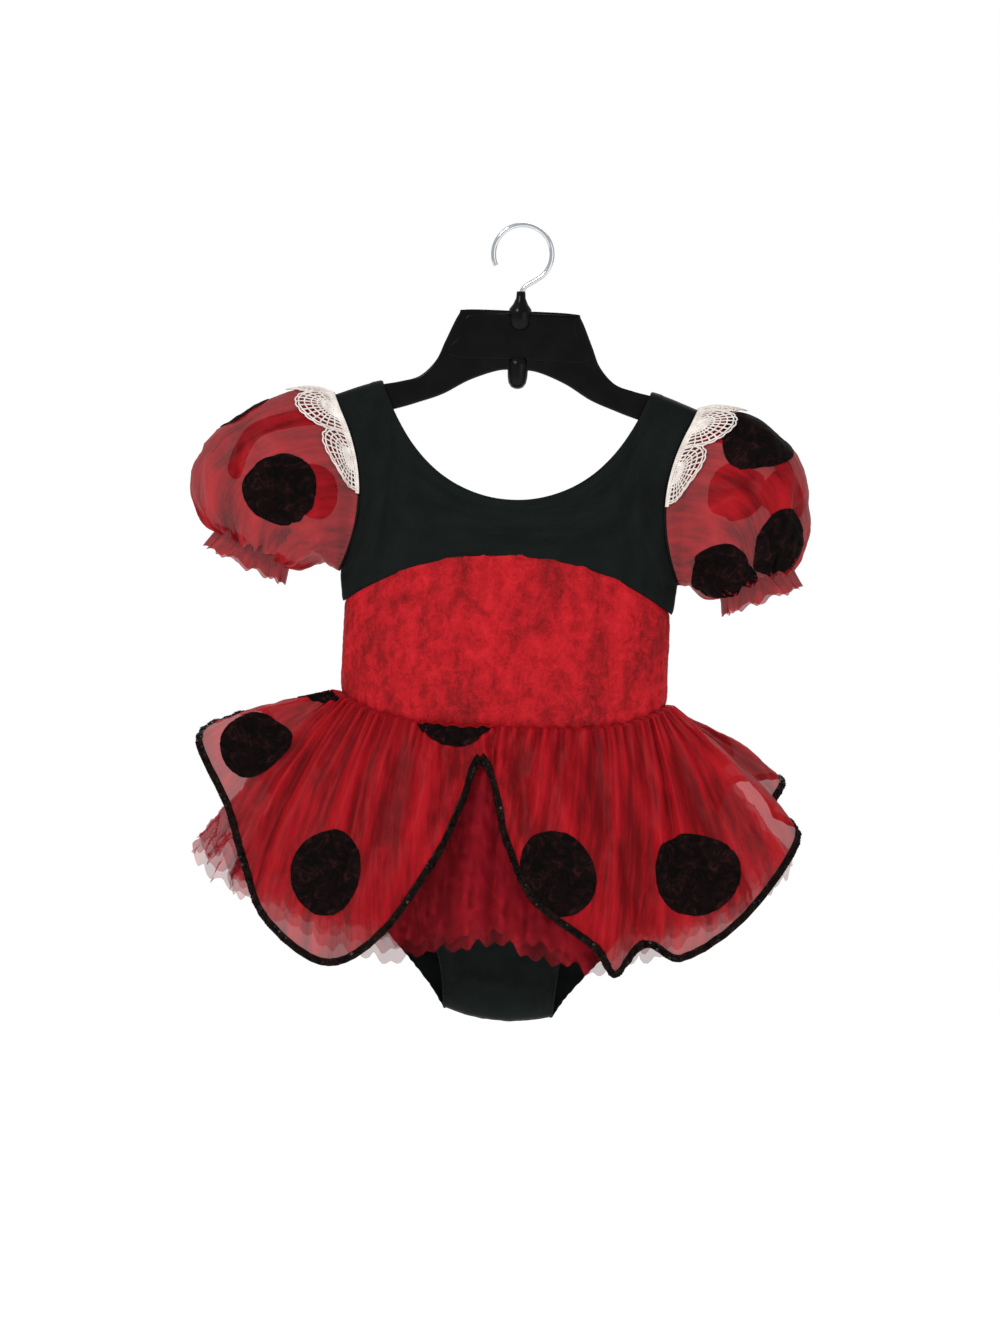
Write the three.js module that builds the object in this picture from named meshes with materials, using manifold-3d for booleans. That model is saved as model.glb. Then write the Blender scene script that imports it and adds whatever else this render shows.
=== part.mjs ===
// A child's ladybug dance costume on a plastic hanger: black stretch leotard with a red velvet
// midriff, puffed organza sleeves with crochet lace at the armholes, a spotted organza overskirt
// that parts at the front, and two layers of net petticoat.
// Millimetres, +Z up. The front faces -Y and +X is on the right of someone looking at the front.
// The origin is where a rail bears, inside the top of the hanger's hook.
import * as THREE from "three";
import { mergeVertices } from "three/addons/utils/BufferGeometryUtils.js";
import Module from "manifold-3d";

const wasm = await Module();
wasm.setup();

// Cloth and seams
const CLOTH = 1; // thickness of every cloth wall
const SEAM = 0.3; // gap between two pieces that are sewn together
const LAYER = CLOTH + 0.4; // from one cloth's middle to the next where they lie together
const WAIST_EASE = 0.6; // more room for the gathers where the skirts are sewn on
const LAID_ON = { low: CLOTH / 2 + SEAM, high: CLOTH / 2 + SEAM + 0.8 }; // what lies on a cloth

// Hanger
const WIRE_R = 1.9;
const HOOK_R = 20 + WIRE_R; // middle of the wire
const NECK_TOP = -48;
const HANGER_MID = -84; // height of the middle of the nameplate
const PLATE_T = 9;
const BORE_R = WIRE_R + SEAM;
const STEM_END = NECK_TOP - 12;

// Leotard
const CHEST_W = 244; // laid flat, side seam to side seam
const SHOULDER_X = 136; // outer end of the shoulder seam
const STRAP_X = 101; // where the neckline meets the shoulder seam
const NECK_FLARE = 12; // how far the neckline widens towards the shoulder
const STRAP_LIFT = 2.2; // height of the straps' cloth above the hanger's arms
const NECK_BOTTOM = -204;
const BACK_NECK_BOTTOM = -219;
const UNDERARM = { x: 126, z: -262 };
const ARMHOLE_INSET = 17; // how far the armhole curves in towards the neck
const ARMHOLE_Y = 14; // half the space between front and back there
const SHOULDER_ROUND = 14; // height in which the cloth turns over the hanger's arm
const ARCH = { top: -246, side: -285, power: 2.3 };
const WAIST = { side: -353, drop: 20 };
const CROTCH = { z: -595, x: 12, rise: 0.004 };
const LEAN = { x: 6, from: -470, over: 110 }; // how far the brief hangs to one side
const BRIEF_GAP = 0.2; // more room between the brief's front and back
const CROTCH_ROUND = 1 / 12; // share of the brief's height in which it turns under
const SIDE_SEAM_END = -462;

// Half of the space inside the leotard at its middle, from the shoulders down.
const DEPTHS = [
  { z: -592, depth: 15 },
  { z: -540, depth: 20 },
  { z: -480, depth: 26 },
  { z: -420, depth: 31 },
  { z: -353, depth: 34 },
  { z: -285, depth: 29 },
  { z: -200, depth: 19 },
  { z: -150, depth: 14 },
  { z: -118, depth: 11 },
];

// Half width of the brief's front and back. Below the side seam the leg opening cuts in.
const BRIEF = [
  { z: -596, front: 40, back: 40, edge: 0.9 },
  { z: -583, front: 41, back: 50, edge: 0.8 },
  { z: -570, front: 42, back: 63, edge: 0.7 },
  { z: -549, front: 46, back: 84, edge: 0.6 },
  { z: -515, front: 62, back: 104, edge: 0.5 },
  { z: -490, front: 88, back: 114, edge: 0.35 },
  { z: SIDE_SEAM_END, front: 119, back: 119, edge: 0 },
  { z: -420, front: 122, back: 122, edge: 0 },
  { z: -340, front: 122, back: 122, edge: 0 },
];

// Rings of each puff, from armhole to elastic: the ring runs from its outer end (ox, oz) to its
// underarm end (ux, uz), and is depth deep either way. The left sleeve is at -X.
const PUFFS = {
  left: [
    { ring: 0, ox: 137, oz: -131.4, ux: 127, uz: -262, depth: 14, inset: 17 },
    { ring: 1, ox: 154, oz: -127.5, ux: 128.5, uz: -262, depth: 27, inset: 11 },
    { ring: 2, ox: 180, oz: -133, ux: 130.5, uz: -261.5, depth: 38, inset: 5 },
    { ring: 3, ox: 205, oz: -147, ux: 132.5, uz: -260.5, depth: 45, inset: 1 },
    { ring: 4, ox: 226, oz: -165, ux: 134.5, uz: -259.5, depth: 48, inset: 0 },
    { ring: 5, ox: 239, oz: -188, ux: 137, uz: -257, depth: 47, inset: 0 },
    { ring: 6, ox: 240, oz: -210, ux: 143, uz: -258, depth: 44, inset: 0 },
    { ring: 7, ox: 231, oz: -228, ux: 154, uz: -263, depth: 35, inset: 0 },
    { ring: 8, ox: 219, oz: -236, ux: 166, uz: -259, depth: 22, inset: 0 },
  ],
  right: [
    { ring: 0, ox: 137, oz: -131.4, ux: 127, uz: -262, depth: 14, inset: 17 },
    { ring: 1, ox: 152, oz: -128.5, ux: 128.5, uz: -262.5, depth: 27, inset: 11 },
    { ring: 2, ox: 174, oz: -132, ux: 130.5, uz: -262.5, depth: 38, inset: 5 },
    { ring: 3, ox: 195, oz: -144, ux: 132.5, uz: -262.5, depth: 45, inset: 1 },
    { ring: 4, ox: 213, oz: -164, ux: 134.5, uz: -262, depth: 48, inset: 0 },
    { ring: 5, ox: 222.5, oz: -192, ux: 136.5, uz: -263, depth: 47, inset: 0 },
    { ring: 6, ox: 223, oz: -219, ux: 141, uz: -267, depth: 44, inset: 0 },
    { ring: 7, ox: 217, oz: -238, ux: 149, uz: -271, depth: 35, inset: 0 },
    { ring: 8, ox: 210, oz: -247, ux: 160, uz: -268, depth: 22, inset: 0 },
  ],
};
const PUFF_FOLDS = { count: 8, cuff: 2.6 };
const FRILL = { length: 13, flare: 14, waves: 12, wave: 4.5, seam: 1.8 };
const LACE_W = 33;
const SCALLOP = { count: 6, depth: 6 };
const LACE_HOLES = { perScallop: 3, radius: 3 };

// Where the overskirt's hem hangs below each place on the waist. turn goes round the waist from
// the middle of the front towards +X. A row is a fold's crest or hollow; 353 is the front slit.
const OVERSKIRT = [
  { turn: -1, x: -4, y: -60, z: -424 },
  { turn: 6, x: 4, y: -72, z: -456 },
  { turn: 20, x: 28, y: -88, z: -500 },
  { turn: 36, x: 74, y: -92, z: -533 },
  { turn: 45, x: 91, y: -97, z: -552 },
  { turn: 54, x: 113, y: -82, z: -530 },
  { turn: 62, x: 140, y: -94, z: -538 },
  { turn: 72, x: 188, y: -86, z: -503 },
  { turn: 82, x: 225, y: -50, z: -447 },
  { turn: 92, x: 205, y: -16, z: -431 },
  { turn: 102, x: 214, y: 16, z: -407 },
  { turn: 114, x: 176, y: 60, z: -414 },
  { turn: 126, x: 164, y: 100, z: -446 },
  { turn: 140, x: 110, y: 86, z: -506 },
  { turn: 154, x: 84, y: 108, z: -528 },
  { turn: 168, x: 34, y: 90, z: -538 },
  { turn: 180, x: 2, y: 108, z: -532 },
  { turn: 194, x: -36, y: 90, z: -538 },
  { turn: 208, x: -80, y: 108, z: -524 },
  { turn: 222, x: -114, y: 86, z: -500 },
  { turn: 236, x: -162, y: 100, z: -438 },
  { turn: 248, x: -180, y: 58, z: -376 },
  { turn: 260, x: -214, y: 20, z: -381 },
  { turn: 271, x: -228, y: -20, z: -396 },
  { turn: 280, x: -204, y: -46, z: -441 },
  { turn: 290, x: -190, y: -60, z: -480 },
  { turn: 300, x: -170, y: -84, z: -522 },
  { turn: 312, x: -124, y: -98, z: -552 },
  { turn: 326, x: -82, y: -92, z: -530 },
  { turn: 340, x: -42, y: -76, z: -470 },
  { turn: 347, x: -25, y: -61, z: -430 },
  { turn: 353, x: -15, y: -51, z: -401 },
];
const TRIM_W = 5.5;
const OVERSKIRT_LIFT = 11; // how far the cloth bows out between waist and hem
const OVERSKIRT_CUT = 200;

const PETTICOATS = {
  petticoat_top: {
    out: 2 * LAYER,
    waves: 18,
    wave: 6,
    lift: 7,
    hem: [
      { turn: 0, x: -4, y: -72, z: -553 },
      { turn: 45, x: 120, y: -70, z: -543 },
      { turn: 90, x: 221, y: 0, z: -474 },
      { turn: 135, x: 128, y: 74, z: -532 },
      { turn: 180, x: 0, y: 80, z: -550 },
      { turn: 225, x: -130, y: 74, z: -532 },
      { turn: 270, x: -228, y: 0, z: -480 },
      { turn: 315, x: -132, y: -70, z: -540 },
    ],
  },
  petticoat_under: {
    out: LAYER,
    waves: 15,
    wave: 4.5,
    lift: 4,
    hem: [
      { turn: 0, x: 0, y: -54, z: -538 },
      { turn: 45, x: 108, y: -52, z: -534 },
      { turn: 90, x: 196, y: 0, z: -496 },
      { turn: 135, x: 112, y: 54, z: -528 },
      { turn: 180, x: 0, y: 60, z: -538 },
      { turn: 225, x: -114, y: 54, z: -528 },
      { turn: 270, x: -202, y: 0, z: -500 },
      { turn: 315, x: -114, y: -52, z: -530 },
    ],
  },
};

// Small helpers

const vector = (x, y, z) => new THREE.Vector3(x, y, z);
const mix = (a, b, t) => a + (b - a) * t;
const clamp = (t, low = 0, high = 1) => Math.min(Math.max(t, low), high);
const ease = (t) => clamp(t) ** 2 * (3 - 2 * clamp(t));
const steps = (from, to, count) => Array.from({ length: count + 1 }, (_, i) => mix(from, to, i / count));
const radians = (degrees) => (degrees * Math.PI) / 180;

// A smooth curve through one named column of a table, read at a value of its key column.
function through(rows, key, column, period = 0) {
  const count = rows.length;
  const row = (i) => {
    const laps = period ? Math.floor(i / count) : 0;
    const found = rows[period ? i - laps * count : clamp(i, 0, count - 1)];
    return { at: found[key] + laps * period, value: found[column] };
  };
  const slope = (i) => {
    const [before, after] = [row(i - 1), row(i + 1)];
    return (after.value - before.value) / (after.at - before.at);
  };
  return (place) => {
    const start = rows[0][key];
    const at = period ? start + ((((place - start) % period) + period) % period) : place;
    let i = 0;
    while (i < (period ? count - 1 : count - 2) && row(i + 1).at <= at) i++;
    const [a, b] = [row(i), row(i + 1)];
    const span = b.at - a.at;
    const t = clamp((at - a.at) / span);
    return (
      (2 * t ** 3 - 3 * t ** 2 + 1) * a.value +
      (t ** 3 - 2 * t ** 2 + t) * span * slope(i) +
      (3 * t ** 2 - 2 * t ** 3) * b.value +
      (t ** 3 - t ** 2) * span * slope(i + 1)
    );
  };
}

// Rows of points of a surface. us run across, vs run down.
const gridOf = (point, us, vs) => vs.map((v) => us.map((u) => point(u, v)));

// The grid's own normals, turned to the outside by outward, 1 or -1.
function normalsOf(grid, closed, outward) {
  const [rows, columns] = [grid.length, grid[0].length];
  return grid.map((line, i) =>
    line.map((_, j) => {
      const left = closed ? (j + columns - 1) % columns : Math.max(j - 1, 0);
      const right = closed ? (j + 1) % columns : Math.min(j + 1, columns - 1);
      const across = line[right].clone().sub(line[left]);
      const down = grid[Math.min(i + 1, rows - 1)][j].clone().sub(grid[Math.max(i - 1, 0)][j]);
      return across.cross(down).normalize().multiplyScalar(outward);
    }),
  );
}

// A closed wall of cloth between two distances from a grid, with rims on its open edges. Each
// cell is split along its shorter diagonal.
function wall(grid, { closed = false, outward = 1, low = -CLOTH / 2, high = CLOTH / 2, normals }) {
  const facing = normals || normalsOf(grid, closed, outward);
  const [rows, columns] = [grid.length, grid[0].length];
  const positions = [];
  for (const distance of [high, low])
    grid.forEach((line, i) =>
      line.forEach((p, j) => positions.push(...p.clone().addScaledVector(facing[i][j], distance))),
    );
  const outer = (i, j) => i * columns + (j % columns);
  const inner = (i, j) => rows * columns + outer(i, j);
  const faces = [];
  const quad = (a, b, c, d) =>
    outward > 0 ? faces.push(a, b, c, a, c, d) : faces.push(a, c, b, a, d, c);
  const last = closed ? columns : columns - 1;
  for (let i = 0; i < rows - 1; i++)
    for (let j = 0; j < last; j++) {
      const next = (j + 1) % columns;
      const [here, below] = [grid[i], grid[i + 1]];
      const falling = here[j].distanceTo(below[next]) <= here[next].distanceTo(below[j]);
      if (falling) {
        quad(outer(i, j), outer(i, j + 1), outer(i + 1, j + 1), outer(i + 1, j));
        quad(inner(i + 1, j + 1), inner(i, j + 1), inner(i, j), inner(i + 1, j));
      } else {
        quad(outer(i, j + 1), outer(i + 1, j + 1), outer(i + 1, j), outer(i, j));
        quad(inner(i, j + 1), inner(i, j), inner(i + 1, j), inner(i + 1, j + 1));
      }
    }
  for (let j = 0; j < last; j++) {
    quad(outer(0, j), inner(0, j), inner(0, j + 1), outer(0, j + 1));
    quad(outer(rows - 1, j), outer(rows - 1, j + 1), inner(rows - 1, j + 1), inner(rows - 1, j));
  }
  if (!closed)
    for (let i = 0; i < rows - 1; i++) {
      quad(outer(i, 0), outer(i + 1, 0), inner(i + 1, 0), inner(i, 0));
      quad(outer(i, last), inner(i, last), inner(i + 1, last), outer(i + 1, last));
    }
  const geometry = new THREE.BufferGeometry();
  geometry.setAttribute("position", new THREE.Float32BufferAttribute(positions, 3));
  geometry.setIndex(faces);
  return geometry;
}

function solidOf(geometry) {
  const bare = geometry.clone();
  bare.deleteAttribute("normal");
  bare.deleteAttribute("uv");
  const merged = mergeVertices(bare, 1e-4);
  return new wasm.Manifold(
    new wasm.Mesh({
      numProp: 3,
      vertProperties: merged.attributes.position.array,
      triVerts: new Uint32Array(merged.index.array),
    }),
  );
}

function geometryOf(solid) {
  const { numProp, vertProperties, triVerts } = solid.getMesh();
  const geometry = new THREE.BufferGeometry();
  const positions = new Float32Array((vertProperties.length / numProp) * 3);
  for (let i = 0; i < positions.length / 3; i++)
    positions.set(vertProperties.subarray(i * numProp, i * numProp + 3), i * 3);
  geometry.setAttribute("position", new THREE.BufferAttribute(positions, 3));
  geometry.setIndex(new THREE.BufferAttribute(triVerts, 1));
  return geometry;
}

const biggest = (solid) => solid.decompose().sort((a, b) => b.volume() - a.volume())[0];

// Hanger

// Half outline of the hanger beside its middle line, from the top of the nameplate out to the
// end of the arm and back below it. Heights are from the middle of the nameplate.
const HANGER_OUTLINE = [
  { x: 0, z: 21.5 },
  { x: 40, z: 21 },
  { x: 46, z: 17 },
  { x: 55, z: -3 },
  { x: 61.5, z: -18 },
  { x: 73, z: -30 },
  { x: 88, z: -35 },
  { x: 110, z: -40 },
  { x: 140, z: -51 },
  { x: 166, z: -60 },
  { x: 186, z: -66 },
  { x: 200, z: -74 },
  { x: 209, z: -88 },
  { x: 214, z: -105 },
  { x: 210, z: -113 },
  { x: 204, z: -111 },
  { x: 198, z: -92 },
  { x: 188, z: -80 },
  { x: 166, z: -73 },
  { x: 130, z: -67 },
  { x: 91, z: -56 },
  { x: 73, z: -50 },
  { x: 55, z: -43 },
  { x: 36, z: -32 },
  { x: 15, z: -24 },
  { x: 0, z: -23 },
];
const BEVEL = 1.5;

const flatShape = (points) => new THREE.Shape(points.map((p) => new THREE.Vector2(p.x, p.z)));

// A slab in the hanger's plane, centred on it.
function slab(points, thickness, bevel) {
  const geometry = new THREE.ExtrudeGeometry(flatShape(points), {
    depth: thickness - 2 * bevel,
    bevelEnabled: bevel > 0,
    bevelThickness: bevel,
    bevelSize: bevel,
    bevelOffset: -bevel,
    bevelSegments: 1,
  });
  geometry.translate(0, 0, bevel - thickness / 2);
  return solidOf(geometry.rotateX(Math.PI / 2).translate(0, 0, HANGER_MID));
}

function lathed(profile) {
  const points = profile.map(([r, z]) => new THREE.Vector2(r, z));
  return solidOf(new THREE.LatheGeometry(points, 16).rotateX(Math.PI / 2));
}

function hanger() {
  const mirrored = HANGER_OUTLINE.slice(1, -1).reverse();
  const outline = [...HANGER_OUTLINE, ...mirrored.map((p) => ({ x: -p.x, z: p.z }))];
  const plate = [
    { x: -38, z: 17 },
    { x: 38, z: 17 },
    { x: 52, z: -15 },
    { x: -52, z: -15 },
  ];
  const neck = lathed([
    [0, -80],
    [9, -76],
    [9, -64],
    [6, -58],
    [3.6, -53],
    [3.4, NECK_TOP],
    [0, NECK_TOP],
  ]);
  const boss = lathed([
    [0, -121],
    [4.5, -119.5],
    [7, -115],
    [7.6, -106],
    [8, -98],
    [0, -98],
  ]);
  const bore = new THREE.CylinderGeometry(BORE_R, BORE_R, 2 * (NECK_TOP - STEM_END + 1), 12);
  return geometryOf(
    slab(outline, PLATE_T, BEVEL)
      .add(slab(plate, PLATE_T + 1.6, 0))
      .add(neck)
      .add(boss)
      .subtract(solidOf(bore.rotateX(Math.PI / 2).translate(0, 0, NECK_TOP))),
  );
}

function hook() {
  const centre = WIRE_R - HOOK_R;
  const arc = steps(205, -50, 12).map((a) =>
    vector(HOOK_R * Math.cos(radians(a)), 0, centre + HOOK_R * Math.sin(radians(a))),
  );
  const path = new THREE.CatmullRomCurve3([
    ...arc,
    vector(6, 0, centre - 22),
    vector(1, 0, centre - 26),
    vector(0, 0, centre - 31),
    vector(0, 0, STEM_END),
  ]);
  const section = new THREE.Shape(
    steps(0, 360, 8)
      .slice(0, 8)
      .map((a) => new THREE.Vector2(WIRE_R * Math.cos(radians(a)), WIRE_R * Math.sin(radians(a)))),
  );
  return new THREE.ExtrudeGeometry(section, { steps: 30, extrudePath: path });
}

// Leotard

const HALF = CHEST_W / 2;
const depthAt = through(DEPTHS, "z", "depth");
const armTopAt = through(HANGER_OUTLINE.slice(6, 13), "x", "z");
const shoulderZ = (x) => HANGER_MID + armTopAt(clamp(Math.abs(x), STRAP_X, 150)) + STRAP_LIFT;
const ARMHOLE_TOP = shoulderZ(SHOULDER_X);
const waistZ = (x) => WAIST.side - WAIST.drop * (1 - Math.min(Math.abs(x) / HALF, 1) ** 4);
const archZ = (x) => mix(ARCH.top, ARCH.side, Math.min(Math.abs(x) / HALF, 1) ** ARCH.power);

// The armhole's edge at a share of its height, 0 at the shoulder and 1 at the underarm.
function armholeX(share) {
  const sine = Math.sin(Math.acos(1 - 2 * clamp(share)));
  return mix(SHOULDER_X, UNDERARM.x, share) - ARMHOLE_INSET * sine ** 2;
}

const armholeShare = (z) => clamp((ARMHOLE_TOP - z) / (ARMHOLE_TOP - UNDERARM.z));

// Half width of the bodice at a height: the armhole's edge, then the side seam.
function bodiceX(z) {
  if (z > UNDERARM.z) return armholeX(armholeShare(z));
  return mix(UNDERARM.x, HALF, ease((UNDERARM.z - z) / 40));
}

// How far the front lies before the middle, and the back behind it.
function bodiceY(x, z) {
  const edge = ARMHOLE_Y * Math.sqrt(1 - (1 - clamp((z - UNDERARM.z) / 40)) ** 2);
  const round = Math.sqrt(Math.max(1 - (x / bodiceX(z)) ** 2, 0));
  const below = clamp((shoulderZ(x) - z) / SHOULDER_ROUND);
  const cap = Math.sqrt(1 - (1 - below) ** 2);
  return SEAM / 2 + 0.05 + cap * mix(edge, Math.max(depthAt(z), edge), round);
}

// A wall of the bodice over places of the front's or back's plane, where v runs down from 0 to 1.
function bodiceWall(facing, flat, us, vs) {
  const point = (u, v) => {
    const { x, z } = flat(u, v);
    return vector(x, facing * bodiceY(Math.abs(x), z), z);
  };
  return wall(gridOf(point, us, vs), { outward: facing });
}

const STRAP_U = 0.74; // share of a yoke's top edge that is neckline
const EDGE_PULL = 3; // how soon the armhole's curve fades towards the middle of a yoke

function yoke(facing) {
  const bottom = facing < 0 ? NECK_BOTTOM : BACK_NECK_BOTTOM;
  const neckTop = shoulderZ(STRAP_X);
  const top = (u) => {
    const along = Math.abs(u);
    if (along > STRAP_U) {
      const x = mix(STRAP_X, SHOULDER_X, (along - STRAP_U) / (1 - STRAP_U));
      return { x: x * Math.sign(u), z: shoulderZ(x) };
    }
    const a = ((1 - along / STRAP_U) * Math.PI) / 2;
    const x = (STRAP_X - NECK_FLARE) * Math.cos(a) + NECK_FLARE * (1 - Math.sin(a)) ** 3;
    return { x: x * Math.sign(u), z: mix(neckTop, bottom, Math.sin(a)) };
  };
  const hem = (u) => {
    const x = (HALF * (Math.sin((u * Math.PI) / 2) + u)) / 2;
    return { x, z: archZ(x) + SEAM };
  };
  const flat = (u, v) => {
    const [t, b] = [top(u), hem(u)];
    const edge = bodiceX(mix(ARMHOLE_TOP, ARCH.side, v)) - mix(SHOULDER_X, HALF, v);
    return { x: mix(t.x, b.x, v) + Math.sign(u) * Math.abs(u) ** EDGE_PULL * edge, z: mix(t.z, b.z, v) };
  };
  const neckUs = steps(0, STRAP_U, 7).slice(1, -1);
  const half = [...neckUs, ...[0.96, 1].map((t) => t * STRAP_U), ...steps(STRAP_U, 1, 3).slice(1)];
  const us = [...half.map((u) => -u).reverse(), 0, ...half];
  const vs = [0, 0.03, 0.07, 0.16, 0.3, 0.45, 0.6, 0.75, 0.87, 1];
  return bodiceWall(facing, flat, us, vs);
}

function midriff(facing) {
  const flat = (u, v) => {
    const x = HALF * Math.sin((u * Math.PI) / 2);
    return { x, z: mix(archZ(x), waistZ(x), v) };
  };
  return bodiceWall(facing, flat, steps(-1, 1, 18), steps(0, 1, 4));
}

const briefEdgeAt = through(BRIEF, "z", "edge");
const crotchZ = (x) => CROTCH.z + CROTCH.rise * (x - CROTCH.x) ** 2;

function brief(facing) {
  const halfAt = through(BRIEF, "z", facing < 0 ? "front" : "back");
  const point = (u, v) => {
    const nominal = mix(WAIST.side, CROTCH.z, v);
    const half = halfAt(nominal);
    const lean = LEAN.x * ease((LEAN.from - nominal) / LEAN.over);
    const across = half * Math.sin((u * Math.PI) / 2);
    const x = across + lean;
    const z = nominal + (waistZ(x) - SEAM - WAIST.side) * (1 - v) ** 2 + (crotchZ(x) - CROTCH.z) * v ** 3;
    const round = Math.sqrt(Math.max(1 - (across / half) ** 2, 0));
    const cap = Math.sqrt(1 - (1 - clamp((1 - v) / CROTCH_ROUND)) ** 2);
    const depth = depthAt(nominal) * mix(clamp(briefEdgeAt(nominal)), 1, round);
    return vector(x, facing * (SEAM / 2 + BRIEF_GAP + cap * depth), z);
  };
  const vs = [0, 0.02, ...steps(0.06, 0.92, 8), 0.97, 1];
  return wall(gridOf(point, steps(-1, 1, 14), vs), { outward: facing });
}

// Sleeves

// A point of a puff: ring counts from the armhole to the elastic, around goes from the top of
// the ring over the front, 0 to 2 pi. sign is the side of the body.
function puffSurface(side) {
  const sign = side === "left" ? -1 : 1;
  const rings = PUFFS[side];
  const read = Object.fromEntries(
    ["ox", "oz", "ux", "uz", "depth", "inset"].map((c) => [c, through(rings, "ring", c)]),
  );
  const cuff = rings.length - 1;
  const point = (around, ring) => {
    const [c, s] = [Math.cos(around), Math.sin(around)];
    const fold = Math.cos(PUFF_FOLDS.count * around) * PUFF_FOLDS.cuff * ease(ring / cuff - 0.35);
    const [ox, oz, ux, uz] = ["ox", "oz", "ux", "uz"].map((name) => read[name](ring));
    const half = Math.hypot(ox - ux, oz - uz) / 2;
    const reach = c * (1 + fold / half);
    const x = (ox + ux) / 2 + (reach * (ox - ux)) / 2 - read.inset(ring) * s ** 2;
    const z = (oz + uz) / 2 + (reach * (oz - uz)) / 2;
    const seam = bodiceY(armholeX(armholeShare(z)), z);
    const full = (read.depth(ring) + fold) * Math.abs(s) ** 0.8;
    const y = mix(Math.abs(s) < 1e-9 ? 0 : seam, full, ease(ring / 1.2));
    return vector(sign * x, -Math.sign(s) * y * (Math.abs(s) < 1e-9 ? 0 : 1), z);
  };
  return { point, cuff, sign };
}

const aroundSteps = (count) => steps(0, 2 * Math.PI, count).slice(0, count);
const PUFF_COLUMNS = 28;

function puffGrid(side) {
  const { point, cuff, sign } = puffSurface(side);
  const grid = gridOf(point, aroundSteps(PUFF_COLUMNS), [0, 0.5, ...steps(1, cuff, cuff - 1)]);
  return { grid, outward: sign };
}

function puff(side) {
  const { grid, outward } = puffGrid(side);
  return wall(grid, { closed: true, outward });
}

function frill(side) {
  const { point, cuff, sign } = puffSurface(side);
  const last = PUFFS[side][cuff];
  const chord = vector(last.ox - last.ux, 0, last.oz - last.uz).normalize();
  const away = vector(-chord.z * -1, 0, -chord.x).multiply(vector(sign, 1, 1));
  const centre = vector((sign * (last.ox + last.ux)) / 2, 0, (last.oz + last.uz) / 2);
  const flare = (around, t) => {
    const start = point(around, cuff);
    const spoke = start.clone().sub(centre);
    const wave = Math.cos(FRILL.waves * around) * FRILL.wave * ease(t * 1.2);
    const scale = 1 + (FRILL.flare * t + wave) / spoke.length();
    return centre
      .clone()
      .addScaledVector(spoke, scale)
      .addScaledVector(away, FRILL.seam + FRILL.length * t + 0.25 * wave);
  };
  const grid = gridOf(flare, aroundSteps(FRILL.waves * 4), [0, 0.45, 1]);
  return wall(grid, { closed: true, outward: sign });
}

// Crochet lace sewn into the armhole seam, which lies on the puff: scalloped, and widest at the
// shoulder.
function lace(side) {
  const { point, sign } = puffSurface(side);
  const first = 2 * Math.PI * (5 / 16);
  const reach = (around) => {
    const share = Math.abs(around) / first;
    const scallop = Math.abs(Math.cos(((share * SCALLOP.count) / 2) * Math.PI));
    return (LACE_W - SCALLOP.depth * (1 - scallop)) * (1 - share ** 3) + 3;
  };
  // The ring at which the lace has come this far from the seam.
  const ringAt = (around, distance) => {
    let [ring, gone] = [0, 0];
    let from = point(around, 0);
    while (gone < distance && ring < 3) {
      ring += 0.02;
      const to = point(around, ring);
      gone += to.distanceTo(from);
      from = to;
    }
    return ring;
  };
  const spread = steps(-first, first, SCALLOP.count * 4);
  const cutter = [0.05, 0.4, 1].map((share) =>
    spread.map((around) => point(around, ringAt(around, reach(around) * share))),
  );
  const outward = sign;
  const { grid } = puffGrid(side);
  const skin = wall(grid.slice(0, 5), { closed: true, outward, ...LAID_ON });
  const sheet = solidOf(wall(cutter, { outward, low: -5, high: 6 })).intersect(solidOf(skin));
  const holes = [];
  for (let scallop = 0; scallop < SCALLOP.count; scallop++)
    for (let i = 0; i < LACE_HOLES.perScallop; i++) {
      const share = (scallop + (i + 0.5) / LACE_HOLES.perScallop) / SCALLOP.count;
      const around = mix(-first, first, share) * 0.8;
      const ring = ringAt(around, reach(around) - 7);
      const at = point(around, ring);
      const across = point(around + 0.01, ring).sub(at);
      const down = point(around, ring + 0.01).sub(at);
      const normal = across.cross(down).normalize();
      const prism = new THREE.CylinderGeometry(LACE_HOLES.radius, LACE_HOLES.radius, 12, 4);
      prism.applyQuaternion(new THREE.Quaternion().setFromUnitVectors(vector(0, 1, 0), normal));
      holes.push(solidOf(prism.translate(at.x, at.y, at.z)));
    }
  return geometryOf(biggest(sheet.subtract(wasm.Manifold.union(holes))));
}

// Skirts

// A point of the waist seam, out beyond the leotard's wall.
function waistPoint(turn, out) {
  const a = radians(turn);
  const x = HALF * Math.sin(a);
  const away = vector(Math.sin(a), -Math.cos(a), 0);
  const z = waistZ(x) - SEAM - CLOTH / 2;
  return vector(x, -depthAt(z) * Math.cos(a), z).addScaledVector(away, out + WAIST_EASE);
}

// A skirt's point: turn round the waist, and share of the way from waist to hem.
function hangingCloth(hem, out, lift, full) {
  const read = ["x", "y", "z"].map((c) => through(hem, "turn", c, 360));
  return (turn, share, wave = 0) => {
    const waist = waistPoint(turn, out);
    const end = vector(...read.map((f) => f(turn)));
    const away = vector(end.x, end.y, 0).normalize();
    const bow = 4 * share * (1 - share) * lift * Math.min(waist.distanceTo(end) / full, 1);
    return waist
      .lerp(end, share)
      .addScaledVector(away, bow + wave)
      .add(vector(0, 0, bow * 0.5));
  };
}

const OVERSKIRT_COLUMNS = 90;
const overskirtTurns = steps(-7, 353, OVERSKIRT_COLUMNS).slice(0, OVERSKIRT_COLUMNS);
const overskirtPoint = hangingCloth(OVERSKIRT, 3.6 * LAYER, OVERSKIRT_LIFT, OVERSKIRT_CUT);

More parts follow.
